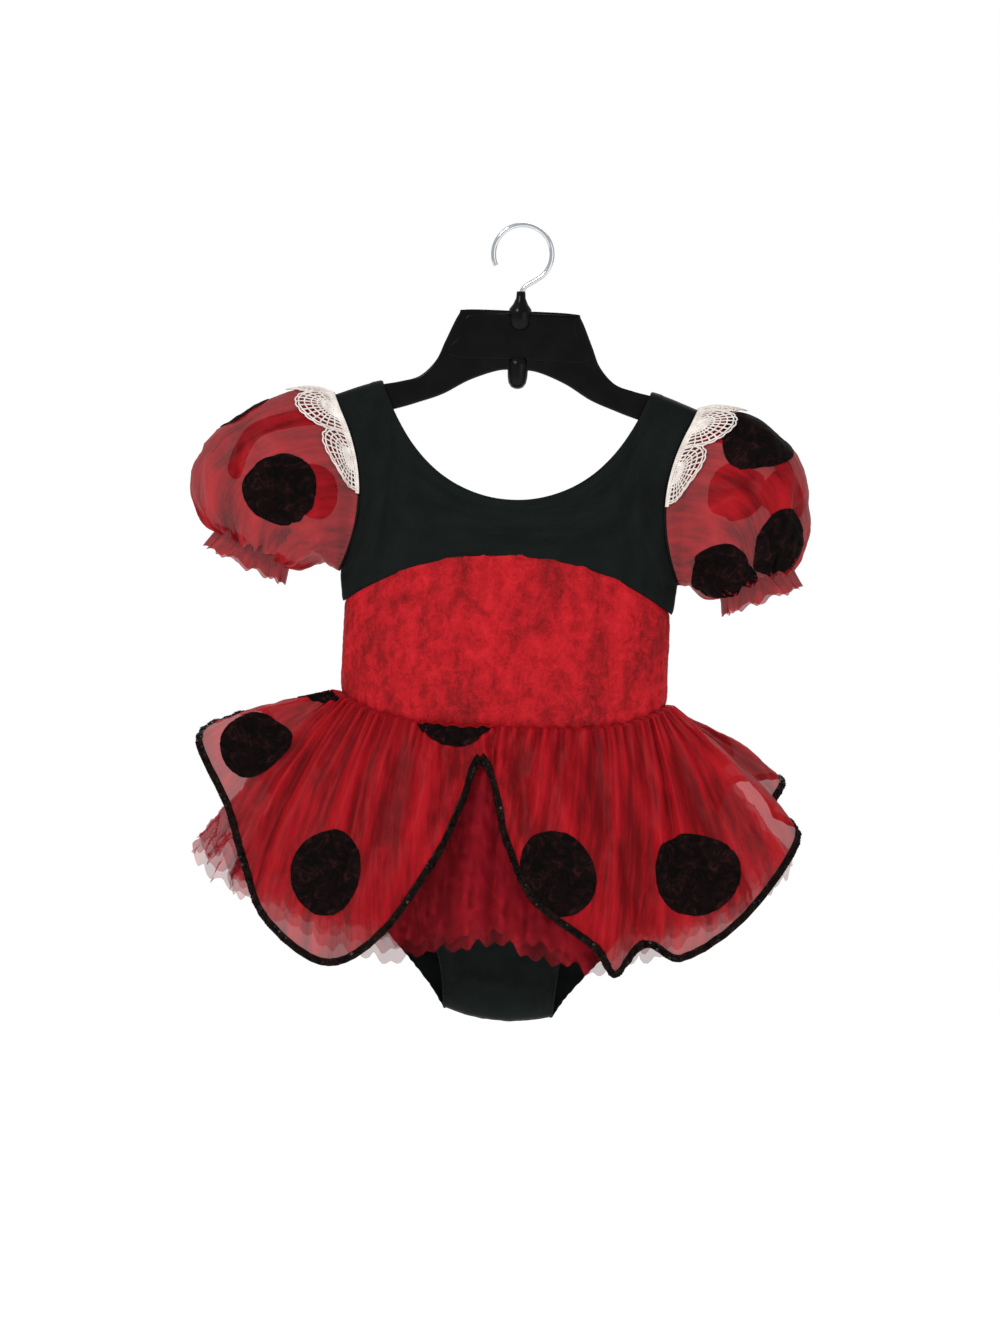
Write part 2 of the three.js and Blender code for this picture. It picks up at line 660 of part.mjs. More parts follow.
// Share of the way down at which the trim starts, so that the trim is equally wide all round.
function trimShare(turn) {
  const end = overskirtPoint(turn, 1);
  const down = end.clone().sub(overskirtPoint(turn, 0.9));
  const along = overskirtPoint(turn + 1, 1).sub(overskirtPoint(turn - 1, 1));
  const sine = down.clone().cross(along).length() / (down.length() * along.length());
  const inset = TRIM_W / Math.max(sine, 0.35);
  return 1 - Math.min(inset / (down.length() * 10), 0.3);
}

function overskirtGrid() {
  const shares = steps(0, 1, 4);
  const grid = shares.map((share) =>
    overskirtTurns.map((turn) => overskirtPoint(turn, share * trimShare(turn))),
  );
  grid.push(overskirtTurns.map((turn) => overskirtPoint(turn, 1)));
  return { grid, normals: normalsOf(grid, true, -1) };
}

function petticoat({ hem, out, waves, wave, lift }) {
  const point = hangingCloth(hem, out, lift, OVERSKIRT_CUT);
  const turns = steps(0, 360, waves * 4).slice(0, waves * 4);
  const ruffled = (turn, share) => {
    const swell = Math.cos(radians(turn * waves)) * wave;
    const jag = Math.cos(radians(turn * 7)) * 5 * share ** 4;
    return point(turn, share, swell * share ** 0.8 * 0.99).add(vector(0, 0, jag));
  };
  return wall(gridOf(ruffled, turns, steps(0, 1, 4)), { closed: true, outward: -1 });
}

// The costume

const finish = (color, roughness, metalness = 0) =>
  new THREE.MeshStandardMaterial({ color, roughness, metalness, side: THREE.DoubleSide });
const BLACK_PLASTIC = finish("#111312", 0.35);
const STEEL = finish("#c9cccf", 0.2, 1);
const BLACK_STRETCH = finish("#101513", 0.7);
const RED_VELVET = finish("#b80f1c", 0.8);
const RED_ORGANZA = finish("#a8141f", 0.55);
const RED_NET = finish("#b5202c", 0.7);
const BLACK_SEQUIN = finish("#15120f", 0.3, 0.2);
const WHITE_COTTON = finish("#e4dcd6", 0.9);

const costume = new THREE.Group();

function add(name, geometry, material) {
  const mesh = new THREE.Mesh(geometry, material);
  mesh.name = name;
  costume.add(mesh);
}

add("hanger", hanger(), BLACK_PLASTIC);
add("hook", hook(), STEEL);
add("yoke_front", yoke(-1), BLACK_STRETCH);
add("yoke_back", yoke(1), BLACK_STRETCH);
add("midriff_front", midriff(-1), RED_VELVET);
add("midriff_back", midriff(1), RED_VELVET);
add("brief_front", brief(-1), BLACK_STRETCH);
add("brief_back", brief(1), BLACK_STRETCH);

for (const side of ["left", "right"]) {
  add(`puff_${side}`, puff(side), RED_ORGANZA);
  add(`frill_${side}`, frill(side), RED_ORGANZA);
  add(`lace_${side}`, lace(side), WHITE_COTTON);
}

const skirt = overskirtGrid();
add("overskirt", wall(skirt.grid, { closed: true, outward: -1, normals: skirt.normals }), RED_ORGANZA);
const hemBand = { grid: skirt.grid.slice(-2), normals: skirt.normals.slice(-2) };
add("hem_trim", wall(hemBand.grid, { closed: true, outward: -1, normals: hemBand.normals, ...LAID_ON }), BLACK_SEQUIN);
for (const [name, cut] of Object.entries(PETTICOATS)) add(name, petticoat(cut), RED_NET);

export default costume;
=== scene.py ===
import math

import bmesh
import bpy
import numpy as np
from mathutils import Matrix, Vector


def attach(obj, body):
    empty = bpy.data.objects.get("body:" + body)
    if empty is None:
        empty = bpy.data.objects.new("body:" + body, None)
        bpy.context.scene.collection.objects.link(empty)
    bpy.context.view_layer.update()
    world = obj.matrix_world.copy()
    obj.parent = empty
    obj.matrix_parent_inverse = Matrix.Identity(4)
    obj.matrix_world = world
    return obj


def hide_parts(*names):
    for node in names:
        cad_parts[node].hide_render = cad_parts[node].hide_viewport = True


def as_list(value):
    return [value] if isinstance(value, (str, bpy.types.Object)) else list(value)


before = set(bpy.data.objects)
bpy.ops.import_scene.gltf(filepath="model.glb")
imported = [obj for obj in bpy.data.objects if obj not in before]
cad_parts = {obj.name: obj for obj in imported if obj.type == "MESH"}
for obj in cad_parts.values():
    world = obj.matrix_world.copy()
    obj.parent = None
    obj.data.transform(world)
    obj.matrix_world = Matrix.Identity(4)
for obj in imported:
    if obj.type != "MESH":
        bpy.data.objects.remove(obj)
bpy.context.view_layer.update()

MM = 0.001
SEED = 7

# The picture: 0.75 mm of costume to a pixel, seen from a little above, with the hanger
# hanging 2.5 degrees off level.
PICTURE_HEIGHT = 1000
CAMERA_FAR = 4500
CAMERA_RAISED = math.radians(1.5)
CAMERA_ROLL = math.radians(2.5)
AIM = (-3.6, 0, -329.3)


def table(columns, *rows):
    """A table with named columns, as one array for each column."""
    return dict(zip(columns.split(), np.array(rows, float).T))


def through(rows, key, column, period=0):
    """A smooth curve through one column of a table, read at values of its key column."""
    at, value = rows[key], rows[column]
    if period:
        at = np.concatenate([at[-2:] - period, at, at[:3] + period])
        value = np.concatenate([value[-2:], value, value[:3]])
    before = np.maximum(np.arange(len(at)) - 1, 0)
    after = np.minimum(np.arange(len(at)) + 1, len(at) - 1)
    slope = (value[after] - value[before]) / (at[after] - at[before])

    def read(place):
        place = np.asarray(place, float)
        if period:
            place = rows[key][0] + (place - rows[key][0]) % period
        i = np.clip(np.searchsorted(at, place, side="right") - 1, 0, len(at) - 2)
        span = at[i + 1] - at[i]
        t = np.clip((place - at[i]) / span, 0, 1)
        return (
            (2 * t**3 - 3 * t**2 + 1) * value[i]
            + (t**3 - 2 * t**2 + t) * span * slope[i]
            + (3 * t**2 - 2 * t**3) * value[i + 1]
            + (t**3 - t**2) * span * slope[i + 1]
        )

    return read


def mix(a, b, t):
    return a + (b - a) * t


def ease(t):
    t = np.clip(t, 0, 1)
    return t**2 * (3 - 2 * t)


def xyz(x, y, z):
    return np.stack(np.broadcast_arrays(x, y, z), axis=-1).astype(float)


def unit(v):
    return v / np.maximum(np.linalg.norm(v, axis=-1, keepdims=True), 1e-9)


def crumple(u, v, size, seed, waves=9, sharp=0.5):
    """Uneven crumples of about one size over cloth coordinates, from -1 to 1: waves in many
    directions, each bent by the one before and partly folded to a ridge."""
    rng = np.random.default_rng(seed)
    total = 0
    bend = 0
    for _ in range(waves):
        angle, phase = rng.uniform(0, math.tau, 2)
        pitch = size * rng.uniform(0.7, 1.8)
        wave = np.sin((u * math.cos(angle) + v * math.sin(angle)) * math.tau / pitch + phase + bend)
        ridge = 1 - 2 * np.abs(wave)
        total = total + mix(wave, ridge, sharp)
        bend = 1.1 * wave
    return total / math.sqrt(waves) / 1.1


def segment_share(point, start, end):
    """How far along a line from start to end a point lies, and its distance from the line."""
    start, end = np.array(start, float), np.array(end, float)
    line = end - start
    share = ((point - start) @ line) / (line @ line)
    gap = np.linalg.norm(point - start - np.clip(share, 0, 1)[..., None] * line, axis=-1)
    return share, gap


def mesh_object(name, points, faces, material, uv=None, smooth=True):
    """A mesh piece from points in millimetres. uv gives each point's place on the cloth, in
    metres."""
    mesh = bpy.data.meshes.new(name)
    mesh.from_pydata((np.asarray(points) * MM).tolist(), [], faces)
    mesh.materials.append(material)
    mesh.polygons.foreach_set("use_smooth", [smooth] * len(mesh.polygons))
    if uv is not None:
        layer = mesh.uv_layers.new(name="cloth")
        corners = np.empty(len(mesh.loops), int)
        mesh.loops.foreach_get("vertex_index", corners)
        layer.data.foreach_set("uv", np.asarray(uv)[corners].astype(np.float32).ravel())
    mesh.update()
    made = bpy.data.objects.new(name, mesh)
    bpy.context.scene.collection.objects.link(made)
    return made


def grid_faces(rows, columns, closed, outward):
    faces = []
    for i in range(rows - 1):
        for j in range(columns if closed else columns - 1):
            k = (j + 1) % columns
            a, b, c, d = i * columns + j, i * columns + k, (i + 1) * columns + k, (i + 1) * columns + j
            faces.append((a, b, c, d) if outward > 0 else (a, d, c, b))
    return faces


def grid_uv(grid):
    """Each point's place on the cloth laid flat: how far across it and down it the point is."""
    rows, columns = grid.shape[:2]
    across = np.linalg.norm(np.diff(grid, axis=1), axis=-1).sum(1).mean() * MM
    down = np.linalg.norm(np.diff(grid, axis=0), axis=-1).sum(0).mean() * MM
    u, v = np.meshgrid(np.linspace(0, across, columns), np.linspace(0, down, rows))
    return np.stack([u, v], axis=-1).reshape(-1, 2)


def cloth(name, grid, material, closed=False, outward=1, thick=0, fold=None):
    """A piece of cloth over rows of points. Sheer cloth is one surface; other cloth has a
    thickness. fold says how far each point stands out or lies in, from 1 to -1; the sheer
    cloth's colour reads it to paint shade in the hollows and highlight on the crests."""
    rows, columns = grid.shape[:2]
    faces = grid_faces(rows, columns, closed, outward)
    made = mesh_object(name, grid.reshape(-1, 3), faces, material, grid_uv(grid))
    # The fold attribute is for painted shade in hollows and painted highlight on crests of the sheer
    # cloth's colour.
    if fold is not None:
        kept = made.data.attributes.new("fold", "FLOAT", "POINT")
        kept.data.foreach_set("value", np.clip(fold, -1, 1).astype(np.float32).ravel())
    if thick:
        solid = made.modifiers.new("thickness", "SOLIDIFY")
        solid.thickness = thick * MM
        solid.offset = 0
        solid.use_even_offset = False
    return made


def area_of(grid, closed=False):
    """The cloth's own area in square metres."""
    if closed:
        grid = np.concatenate([grid, grid[:, :1]], axis=1)
    across = grid[:-1, 1:] - grid[:-1, :-1]
    down = grid[1:, :-1] - grid[:-1, :-1]
    return float(np.linalg.norm(np.cross(across, down), axis=-1).sum()) * MM * MM


def done(piece, slot, *nodes):
    """Lets a piece ride with the costume, and hides the solids that it stands for. slot, what it
    is made of, is not used."""
    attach(piece, "root")
    if nodes:
        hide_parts(*nodes)
    return piece


# Leotard
SEAM = 0.3  # gap between two pieces that are sewn together
HANGER_MID = -84
CHEST = 244  # laid flat
HALF = CHEST / 2
SHOULDER_X = 136
STRAP_X = 101
NECK_FLARE = 12  # how far the neckline widens towards the shoulder
STRAP_LIFT = 2.2
NECK_BOTTOM = {-1: -204, 1: -219}  # the front's and the back's
UNDERARM = (126, -262)
ARMHOLE_INSET = 17
ARMHOLE_Y = 14
ARCH_TOP, ARCH_SIDE, ARCH_POWER = -246, -285, 2.3
WAIST_SIDE, WAIST_DROP = -353, 20
CROTCH_Z, CROTCH_X, CROTCH_RISE = -595, 12, 0.004
SHOULDER_ROUND = 14  # height in which the cloth turns over the hanger

# Half of the space inside the leotard at its middle.
DEPTHS = table(
    "z depth",
    (-592, 15),
    (-540, 20),
    (-480, 26),
    (-420, 31),
    (-353, 34),
    (-285, 29),
    (-200, 19),
    (-150, 14),
    (-118, 11),
)

# Half width of the brief, and how near its edges come to the middle plane.
BRIEF = table(
    "z front back edge",
    (-596, 40, 40, 0.9),
    (-583, 41, 50, 0.8),
    (-570, 42, 63, 0.7),
    (-549, 46, 84, 0.6),
    (-515, 62, 104, 0.5),
    (-490, 88, 114, 0.35),
    (-462, 119, 119, 0),
    (-420, 122, 122, 0),
    (-340, 122, 122, 0),
)

# Half outline of the hanger, from the top of its plate out along the arm and back below it.
HANGER = table(
    "x z",
    (0, 21.5),
    (40, 21),
    (46, 17),
    (55, -3),
    (61.5, -18),
    (73, -30),
    (88, -35),
    (110, -40),
    (140, -51),
    (166, -60),
    (186, -66),
    (200, -74),
    (209, -88),
    (214, -105),
    (210, -113),
    (204, -111),
    (198, -92),
    (188, -80),
    (166, -73),
    (130, -67),
    (91, -56),
    (73, -50),
    (55, -43),
    (36, -32),
    (15, -24),
    (0, -23),
)
ARM_TOP = {name: column[6:13] for name, column in HANGER.items()}

# Rings of each puff, from armhole to elastic: from the outer end (ox, oz) to the underarm end
# (ux, uz), and so deep either way.
PUFFS = {
    "left": table(
        "ring ox oz ux uz depth inset",
        (0, 137, -131.4, 127, -262, 14, 17),
        (1, 154, -127.5, 128.5, -262, 27, 11),
        (2, 180, -133, 130.5, -261.5, 38, 5),
        (3, 205, -147, 132.5, -260.5, 45, 1),
        (4, 226, -165, 134.5, -259.5, 48, 0),
        (5, 239, -188, 137, -257, 47, 0),
        (6, 240, -210, 143, -258, 44, 0),
        (7, 231, -228, 154, -263, 35, 0),
        (8, 219, -236, 166, -259, 22, 0),
    ),
    "right": table(
        "ring ox oz ux uz depth inset",
        (0, 137, -131.4, 127, -262, 14, 17),
        (1, 152, -128.5, 128.5, -262.5, 27, 11),
        (2, 174, -132, 130.5, -262.5, 38, 5),
        (3, 195, -144, 132.5, -262.5, 45, 1),
        (4, 213, -164, 134.5, -262, 48, 0),
        (5, 222.5, -192, 136.5, -263, 47, 0),
        (6, 223, -219, 141, -267, 44, 0),
        (7, 217, -238, 149, -271, 35, 0),
        (8, 210, -247, 160, -268, 22, 0),
    ),
}
CUFF = 8
CUFF_FOLDS, CUFF_FOLD = 8, 2.6
FRILL = {"length": 14, "flare": 10, "waves": 12, "wave": 4, "seam": 1.2}
LACE_WIDE = 33
SCALLOPS = 6  # half fans from the shoulder to an end of the lace

# Where the overskirt's hem hangs. turn goes round the waist from the middle of the front towards
# +X; each row is a fold's crest or hollow, and 353 is the top of the front slit.
OVERSKIRT = table(
    "turn x y z",
    (-1, -4, -60, -424),
    (6, 4, -72, -456),
    (20, 28, -88, -500),
    (36, 74, -92, -533),
    (45, 91, -97, -552),
    (54, 113, -82, -530),
    (62, 140, -94, -538),
    (72, 188, -86, -503),
    (82, 225, -50, -447),
    (92, 205, -16, -431),
    (102, 214, 16, -407),
    (114, 176, 60, -414),
    (126, 164, 100, -446),
    (140, 110, 86, -506),
    (154, 84, 108, -528),
    (168, 34, 90, -538),
    (180, 2, 108, -532),
    (194, -36, 90, -538),
    (208, -80, 108, -524),
    (222, -114, 86, -500),
    (236, -162, 100, -438),
    (248, -180, 58, -376),
    (260, -214, 20, -381),
    (271, -228, -20, -396),
    (280, -204, -46, -441),
    (290, -190, -60, -480),
    (300, -170, -84, -522),
    (312, -124, -98, -552),
    (326, -82, -92, -530),
    (340, -42, -76, -470),
    (347, -25, -61, -430),
    (353, -15, -51, -401),
)
OVERSKIRT_FROM = -7
OVERSKIRT_LIFT = 11
OVERSKIRT_CUT = 200
TRIM_WIDE = 5.5
LAYER = 1.4  # from one cloth to the next where they are sewn together
WAIST_EASE = 0.6

# Hems of the two outer petticoats; two more layers of net lie between and inside them.
NET_TOP = table(
    "turn x y z",
    (0, -4, -72, -541),
    (45, 120, -70, -543),
    (90, 221, 0, -474),
    (135, 128, 74, -532),
    (180, 0, 80, -550),
    (225, -130, 74, -532),
    (270, -228, 0, -480),
    (315, -132, -70, -540),
)
NET_UNDER = table(
    "turn x y z",
    (0, 0, -54, -530),
    (45, 108, -52, -534),
    (90, 196, 0, -496),
    (135, 112, 54, -528),
    (180, 0, 60, -538),
    (225, -114, 54, -528),
    (270, -202, 0, -500),
    (315, -114, -52, -530),
)

depth_at = through(DEPTHS, "z", "depth")
brief_edge_at = through(BRIEF, "z", "edge")
arm_top_at = through(ARM_TOP, "x", "z")


def shoulder_z(x):
    return HANGER_MID + arm_top_at(np.clip(np.abs(x), STRAP_X, 150)) + STRAP_LIFT


ARMHOLE_TOP = float(shoulder_z(SHOULDER_X))


def waist_z(x):
    return WAIST_SIDE - WAIST_DROP * (1 - np.minimum(np.abs(x) / HALF, 1) ** 4)


def arch_z(x):
    return mix(ARCH_TOP, ARCH_SIDE, np.minimum(np.abs(x) / HALF, 1) ** ARCH_POWER)


def armhole_share(z):
    return np.clip((ARMHOLE_TOP - z) / (ARMHOLE_TOP - UNDERARM[1]), 0, 1)


def armhole_x(share):
    sine = np.sin(np.arccos(1 - 2 * np.clip(share, 0, 1)))
    return mix(SHOULDER_X, UNDERARM[0], share) - ARMHOLE_INSET * sine**2


def bodice_x(z):
    below = mix(UNDERARM[0], HALF, ease((UNDERARM[1] - z) / 40))
    return np.where(z > UNDERARM[1], armhole_x(armhole_share(z)), below)


def bodice_y(x, z):
    """How far the front lies before the middle plane, and the back behind it."""
    edge = ARMHOLE_Y * np.sqrt(1 - (1 - np.clip((z - UNDERARM[1]) / 40, 0, 1)) ** 2)
    round_off = np.sqrt(np.maximum(1 - (x / bodice_x(z)) ** 2, 0))
    below = np.clip((shoulder_z(x) - z) / SHOULDER_ROUND, 0, 1)
    cap = np.sqrt(1 - (1 - below) ** 2)
    return SEAM / 2 + 0.05 + cap * mix(edge, np.maximum(depth_at(z), edge), round_off)


# Materials
def linear(code):
    """A colour from its sRGB hex code."""
    parts = [int(code[i : i + 2], 16) / 255 for i in (1, 3, 5)]
    return (*(p / 12.92 if p <= 0.04045 else ((p + 0.055) / 1.055) ** 2.4 for p in parts), 1)


def add(tree, kind, inputs=None, **settings):
    """Adds a node. Each input is a value, or the socket of another node to link from."""
    made = tree.nodes.new(kind)
    for name, value in settings.items():
        setattr(made, name, value)
    for name, value in (inputs or {}).items():
        if isinstance(value, bpy.types.NodeSocket):
            tree.links.new(value, made.inputs[name])
        else:
            made.inputs[name].default_value = value
    return made


def new_material(name):
    made = bpy.data.materials.new(name)
    made.use_nodes = True
    made.node_tree.nodes.clear()
    return made, made.node_tree


def surface(tree, inputs):
    shader = add(tree, "ShaderNodeBsdfPrincipled", inputs)
    add(tree, "ShaderNodeOutputMaterial", {"Surface": shader.outputs["BSDF"]})
    return shader


def blotches(tree, place, size, detail=4, rough=0.6, warp=0):
    """Cloudy noise whose patches are about size millimetres across."""
    given = {"Vector": place, "Scale": 1 / (size * MM), "Detail": detail}
    given |= {"Roughness": rough, "Distortion": warp}
    return add(tree, "ShaderNodeTexNoise", given).outputs["Fac"]


def ramp(tree, fac, *stops):
    """Colours between stops, each a place from 0 to 1 and a hex code."""
    made = add(tree, "ShaderNodeValToRGB", {"Fac": fac})
    elements = made.color_ramp.elements
    for element, (at, code) in zip(elements, (stops[0], stops[-1])):
        element.position, element.color = at, linear(code)
    for at, code in stops[1:-1]:
        elements.new(at).color = linear(code)
    return made.outputs["Color"]


def bump(tree, height, strength, distance, under=None):
    inputs = {"Height": height, "Strength": strength, "Distance": distance * MM}
    if under is not None:
        inputs["Normal"] = under
    return add(tree, "ShaderNodeBump", inputs).outputs["Normal"]


def stretched(tree, place, x, y, z=1):
    """The same place with each direction scaled, to draw out a pattern."""
    return add(tree, "ShaderNodeMapping", {"Vector": place, "Scale": (x, y, z)}).outputs["Vector"]


def stretch_jersey():
    """Nylon and elastane jersey, knitted fine: matt, near black with a green cast where light
    falls, and a faint lengthwise rib."""
    made, tree = new_material("black_stretch_jersey")
    uv = add(tree, "ShaderNodeUVMap", uv_map="cloth").outputs["UV"]
    rib = add(
        tree,
        "ShaderNodeTexWave",
        {"Vector": uv, "Scale": 0.31 / (1.2 * MM), "Distortion": 0.6, "Detail": 1},
    ).outputs["Fac"]
    worn = blotches(tree, uv, 26, 5)
    pill = blotches(tree, uv, 2.2, 2)
    colour = ramp(tree, worn, (0.3, "#080c0b"), (0.7, "#101615"))
    normal = bump(tree, rib, 0.25, 0.2, bump(tree, pill, 0.3, 0.4))
    surface(
        tree,
        {
            "Base Color": colour,
            "Roughness": 0.82,
            "Specular IOR Level": 0.1,
            "Sheen Weight": 0.03,
            "Sheen Roughness": 0.6,
            "Sheen Tint": linear("#3c4a46"),
            "Normal": normal,
        },
    )
    return made


def crushed_velvet():
    """Crushed stretch velvet: its pile lies every way in patches a few millimetres wide, which
    show bright where they face the light and dark where they turn from it, in loose upright
    streaks."""
    made, tree = new_material("red_crushed_velvet")
    uv = add(tree, "ShaderNodeUVMap", uv_map="cloth").outputs["UV"]
    streaks = blotches(tree, stretched(tree, uv, 1, 0.3), 24, 3, 0.55, 0.3)
    patches = blotches(tree, stretched(tree, uv, 1, 0.7), 7, 6, 0.78, 0.4)
    pile = blotches(tree, uv, 1.6, 3, 0.7)
    both = add(
        tree, "ShaderNodeMix", {"Factor": 0.55, "A": streaks, "B": patches}, data_type="FLOAT"
    ).outputs["Result"]
    grain = add(
        tree, "ShaderNodeMix", {"Factor": 0.18, "A": both, "B": pile}, data_type="FLOAT"
    ).outputs["Result"]
    # The ramp paints the pile's patches into the colour: painted highlight where they face the light,
    # painted shade where they turn from it.
    colour = ramp(
        tree, grain, (0.36, "#5c040a"), (0.45, "#86070f"), (0.52, "#a90b17"), (0.63, "#c21925")
    )
    rough = add(
        tree,
        "ShaderNodeMapRange",
        {"Value": patches, "From Min": 0.35, "From Max": 0.65, "To Min": 0.75, "To Max": 0.5},
    ).outputs["Result"]
    normal = bump(tree, patches, 0.6, 1.2, bump(tree, pile, 0.4, 0.5))
    surface(
        tree,
        {
            "Base Color": colour,
            "Roughness": rough,
            "Specular IOR Level": 0.15,
            "Sheen Weight": 0.06,
            "Sheen Roughness": 0.35,
            "Sheen Tint": linear("#ff6a70"),
            "Normal": normal,
        },
    )
    return made


def sheer(name, pale, mid, deep, alpha, roughness, weave, sheen):
    """Sheer woven or netted nylon: even see-through cloth with painted highlight on its folds'
    crests and painted shade in their hollows, streaked along its length by fine crinkles. weave
    is the spacing of its threads, drawn coarse enough to show."""
    made, tree = new_material(name)
    uv = add(tree, "ShaderNodeUVMap", uv_map="cloth").outputs["UV"]
    # Painted shade and highlight: shade adds the fold attribute to the tone, so the colour goes towards
    # deep in hollows and towards pale on crests.
    fold = add(tree, "ShaderNodeAttribute", attribute_name="fold").outputs["Fac"]
    shade = add(tree, "ShaderNodeMath", {0: fold, 1: 0.2}, operation="MULTIPLY").outputs[0]
    streaks = blotches(tree, stretched(tree, uv, 1, 0.14), 6, 4, 0.62)
    tone = add(tree, "ShaderNodeMath", {0: streaks, 1: shade}, operation="ADD").outputs[0]
    thread = blotches(tree, uv, weave, 2)
    surface(
        tree,
        {
            "Base Color": ramp(tree, tone, (0.3, deep), (0.5, mid), (0.72, pale)),
            "Roughness": roughness,
            "Alpha": alpha,
            "Specular IOR Level": 0.08,
            "Sheen Weight": sheen,
            "Sheen Roughness": 0.4,
            "Sheen Tint": linear("#ff8a8a"),
            "Normal": bump(tree, thread, 0.35, 0.5),
        },
    )
    return made


def flocked_velvet():
    """Black flock glued on in rounds: dead black, with short fibre that shows brown where it has
    rubbed."""
    made, tree = new_material("black_flocked_velvet")
    uv = add(tree, "ShaderNodeUVMap", uv_map="cloth").outputs["UV"]
    rub = blotches(tree, uv, 9, 5, 0.75, 1)
    fibre = blotches(tree, uv, 1.4, 2)
    surface(
        tree,
        {
            "Base Color": ramp(tree, rub, (0.42, "#070404"), (0.56, "#140909"), (0.7, "#331517")),
            "Roughness": 0.95,
            "Specular IOR Level": 0.06,
            "Normal": bump(tree, fibre, 0.7, 0.6),
        },
    )
    return made


def sequin_film():
    """Black foil sequins: small glossy discs with a brown lustre."""
    made, tree = new_material("black_sequin")
    place = add(tree, "ShaderNodeTexCoord").outputs["Object"]
    tint = blotches(tree, place, 7, 2)
    surface(
        tree,
        {
            "Base Color": ramp(tree, tint, (0.35, "#030202"), (0.7, "#1c0e08")),
            "Roughness": 0.3,
            "Specular IOR Level": 0.05,
            "Coat Weight": 0.02,
            "Coat Roughness": 0.1,
        },
    )
    return made


def cotton_thread():
    """Mercerised cotton crochet thread, off white, with a pink reflection from the cloth below painted into
    its colour.
    """
    made, tree = new_material("white_cotton_thread")
    place = add(tree, "ShaderNodeTexCoord").outputs["Object"]
    tone = blotches(tree, place, 6, 3)
    twist = blotches(tree, place, 0.8, 2)
    surface(
        tree,
        {
            # The pink cast in these colours is painted reflection from the red cloth below.
            "Base Color": ramp(tree, tone, (0.3, "#cfc3bb"), (0.7, "#ece5df")),
            "Roughness": 0.85,
            "Sheen Weight": 0.3,
            "Normal": bump(tree, twist, 0.5, 0.3),
        },
    )
    return made


def sewing_thread(name, code):
    """Polyester sewing thread, a little shinier than the cloth."""
    made, tree = new_material(name)
    place = add(tree, "ShaderNodeTexCoord").outputs["Object"]
    ply = blotches(tree, place, 0.9, 1)
    surface(
        tree,
        {
            "Base Color": linear(code),
            "Roughness": 0.7,
            "Specular IOR Level": 0.1,
            "Normal": bump(tree, ply, 0.3, 0.2),
        },
    )
    return made


def moulded_plastic():
    """Injection-moulded polystyrene: black and fairly glossy, with flow marks and fine scuffs."""
    made, tree = new_material("black_polystyrene")
    place = add(tree, "ShaderNodeTexCoord").outputs["Object"]
    scuff = blotches(tree, place, 16, 3)
    grain = blotches(tree, place, 1.1, 2)
    rough = add(
        tree,
        "ShaderNodeMapRange",
        {"Value": scuff, "From Min": 0.35, "From Max": 0.7, "To Min": 0.22, "To Max": 0.34},
    ).outputs["Result"]
    surface(
        tree,
        {
            "Base Color": ramp(tree, scuff, (0.35, "#020202"), (0.75, "#040404")),
            "Roughness": rough,
            "IOR": 1.59,
            "Specular IOR Level": 0.1,
            "Normal": bump(tree, grain, 0.12, 0.1),
        },
    )
    return made


def chromed_wire():
    """Bright nickel and chrome plate on steel wire, with faint drawing lines."""
    made, tree = new_material("chromed_wire")
    place = add(tree, "ShaderNodeTexCoord").outputs["Object"]
    draw = blotches(tree, place, 1.5, 3)
    rough = add(
        tree,
        "ShaderNodeMapRange",
        {"Value": draw, "From Min": 0.3, "From Max": 0.7, "To Min": 0.08, "To Max": 0.2},
    ).outputs["Result"]
    surface(
        tree,
        {"Base Color": linear("#c9ccd0"), "Metallic": 1, "Roughness": rough},
    )
    return made


JERSEY = stretch_jersey()
VELVET = crushed_velvet()
PUFF_ORGANZA = sheer("red_sleeve_organza", "#a8141d", "#900e17", "#68070e", 0.82, 0.5, 1.6, 0.05)
SKIRT_ORGANZA = sheer("red_skirt_organza", "#ac121d", "#920b15", "#6a060d", 0.88, 0.5, 1.6, 0.04)
NET = sheer("red_net", "#b01a2a", "#94111f", "#6c0914", 0.48, 0.7, 2.4, 0.04)
FLOCK = flocked_velvet()
SEQUIN = sequin_film()
COTTON = cotton_thread()
BLACK_THREAD = sewing_thread("black_thread", "#171c1b")
RED_THREAD = sewing_thread("red_thread", "#9c1420")
PLASTIC = moulded_plastic()
CHROME = chromed_wire()


# Forms
STRAP_U = 0.74  # share of a yoke's top edge that is neckline
LEAN_X, LEAN_FROM, LEAN_OVER = 6, -470, 110  # how far the brief hangs to one side
CROTCH_ROUND = 1 / 12  # share of the brief's height in which it turns under
FRONT, BACK = -1, 1


def bodice_point(x, z, facing):
    return xyz(x, facing * bodice_y(np.abs(x), z), z)


def neckline(along, facing):
    """A place on the neckline in the plane, from its middle at 0 to the shoulder at 1."""
    a = (1 - np.clip(along, 0, 1)) * math.pi / 2
    x = (STRAP_X - NECK_FLARE) * np.cos(a) + NECK_FLARE * (1 - np.sin(a)) ** 3
    return x, mix(float(shoulder_z(STRAP_X)), NECK_BOTTOM[facing], np.sin(a))


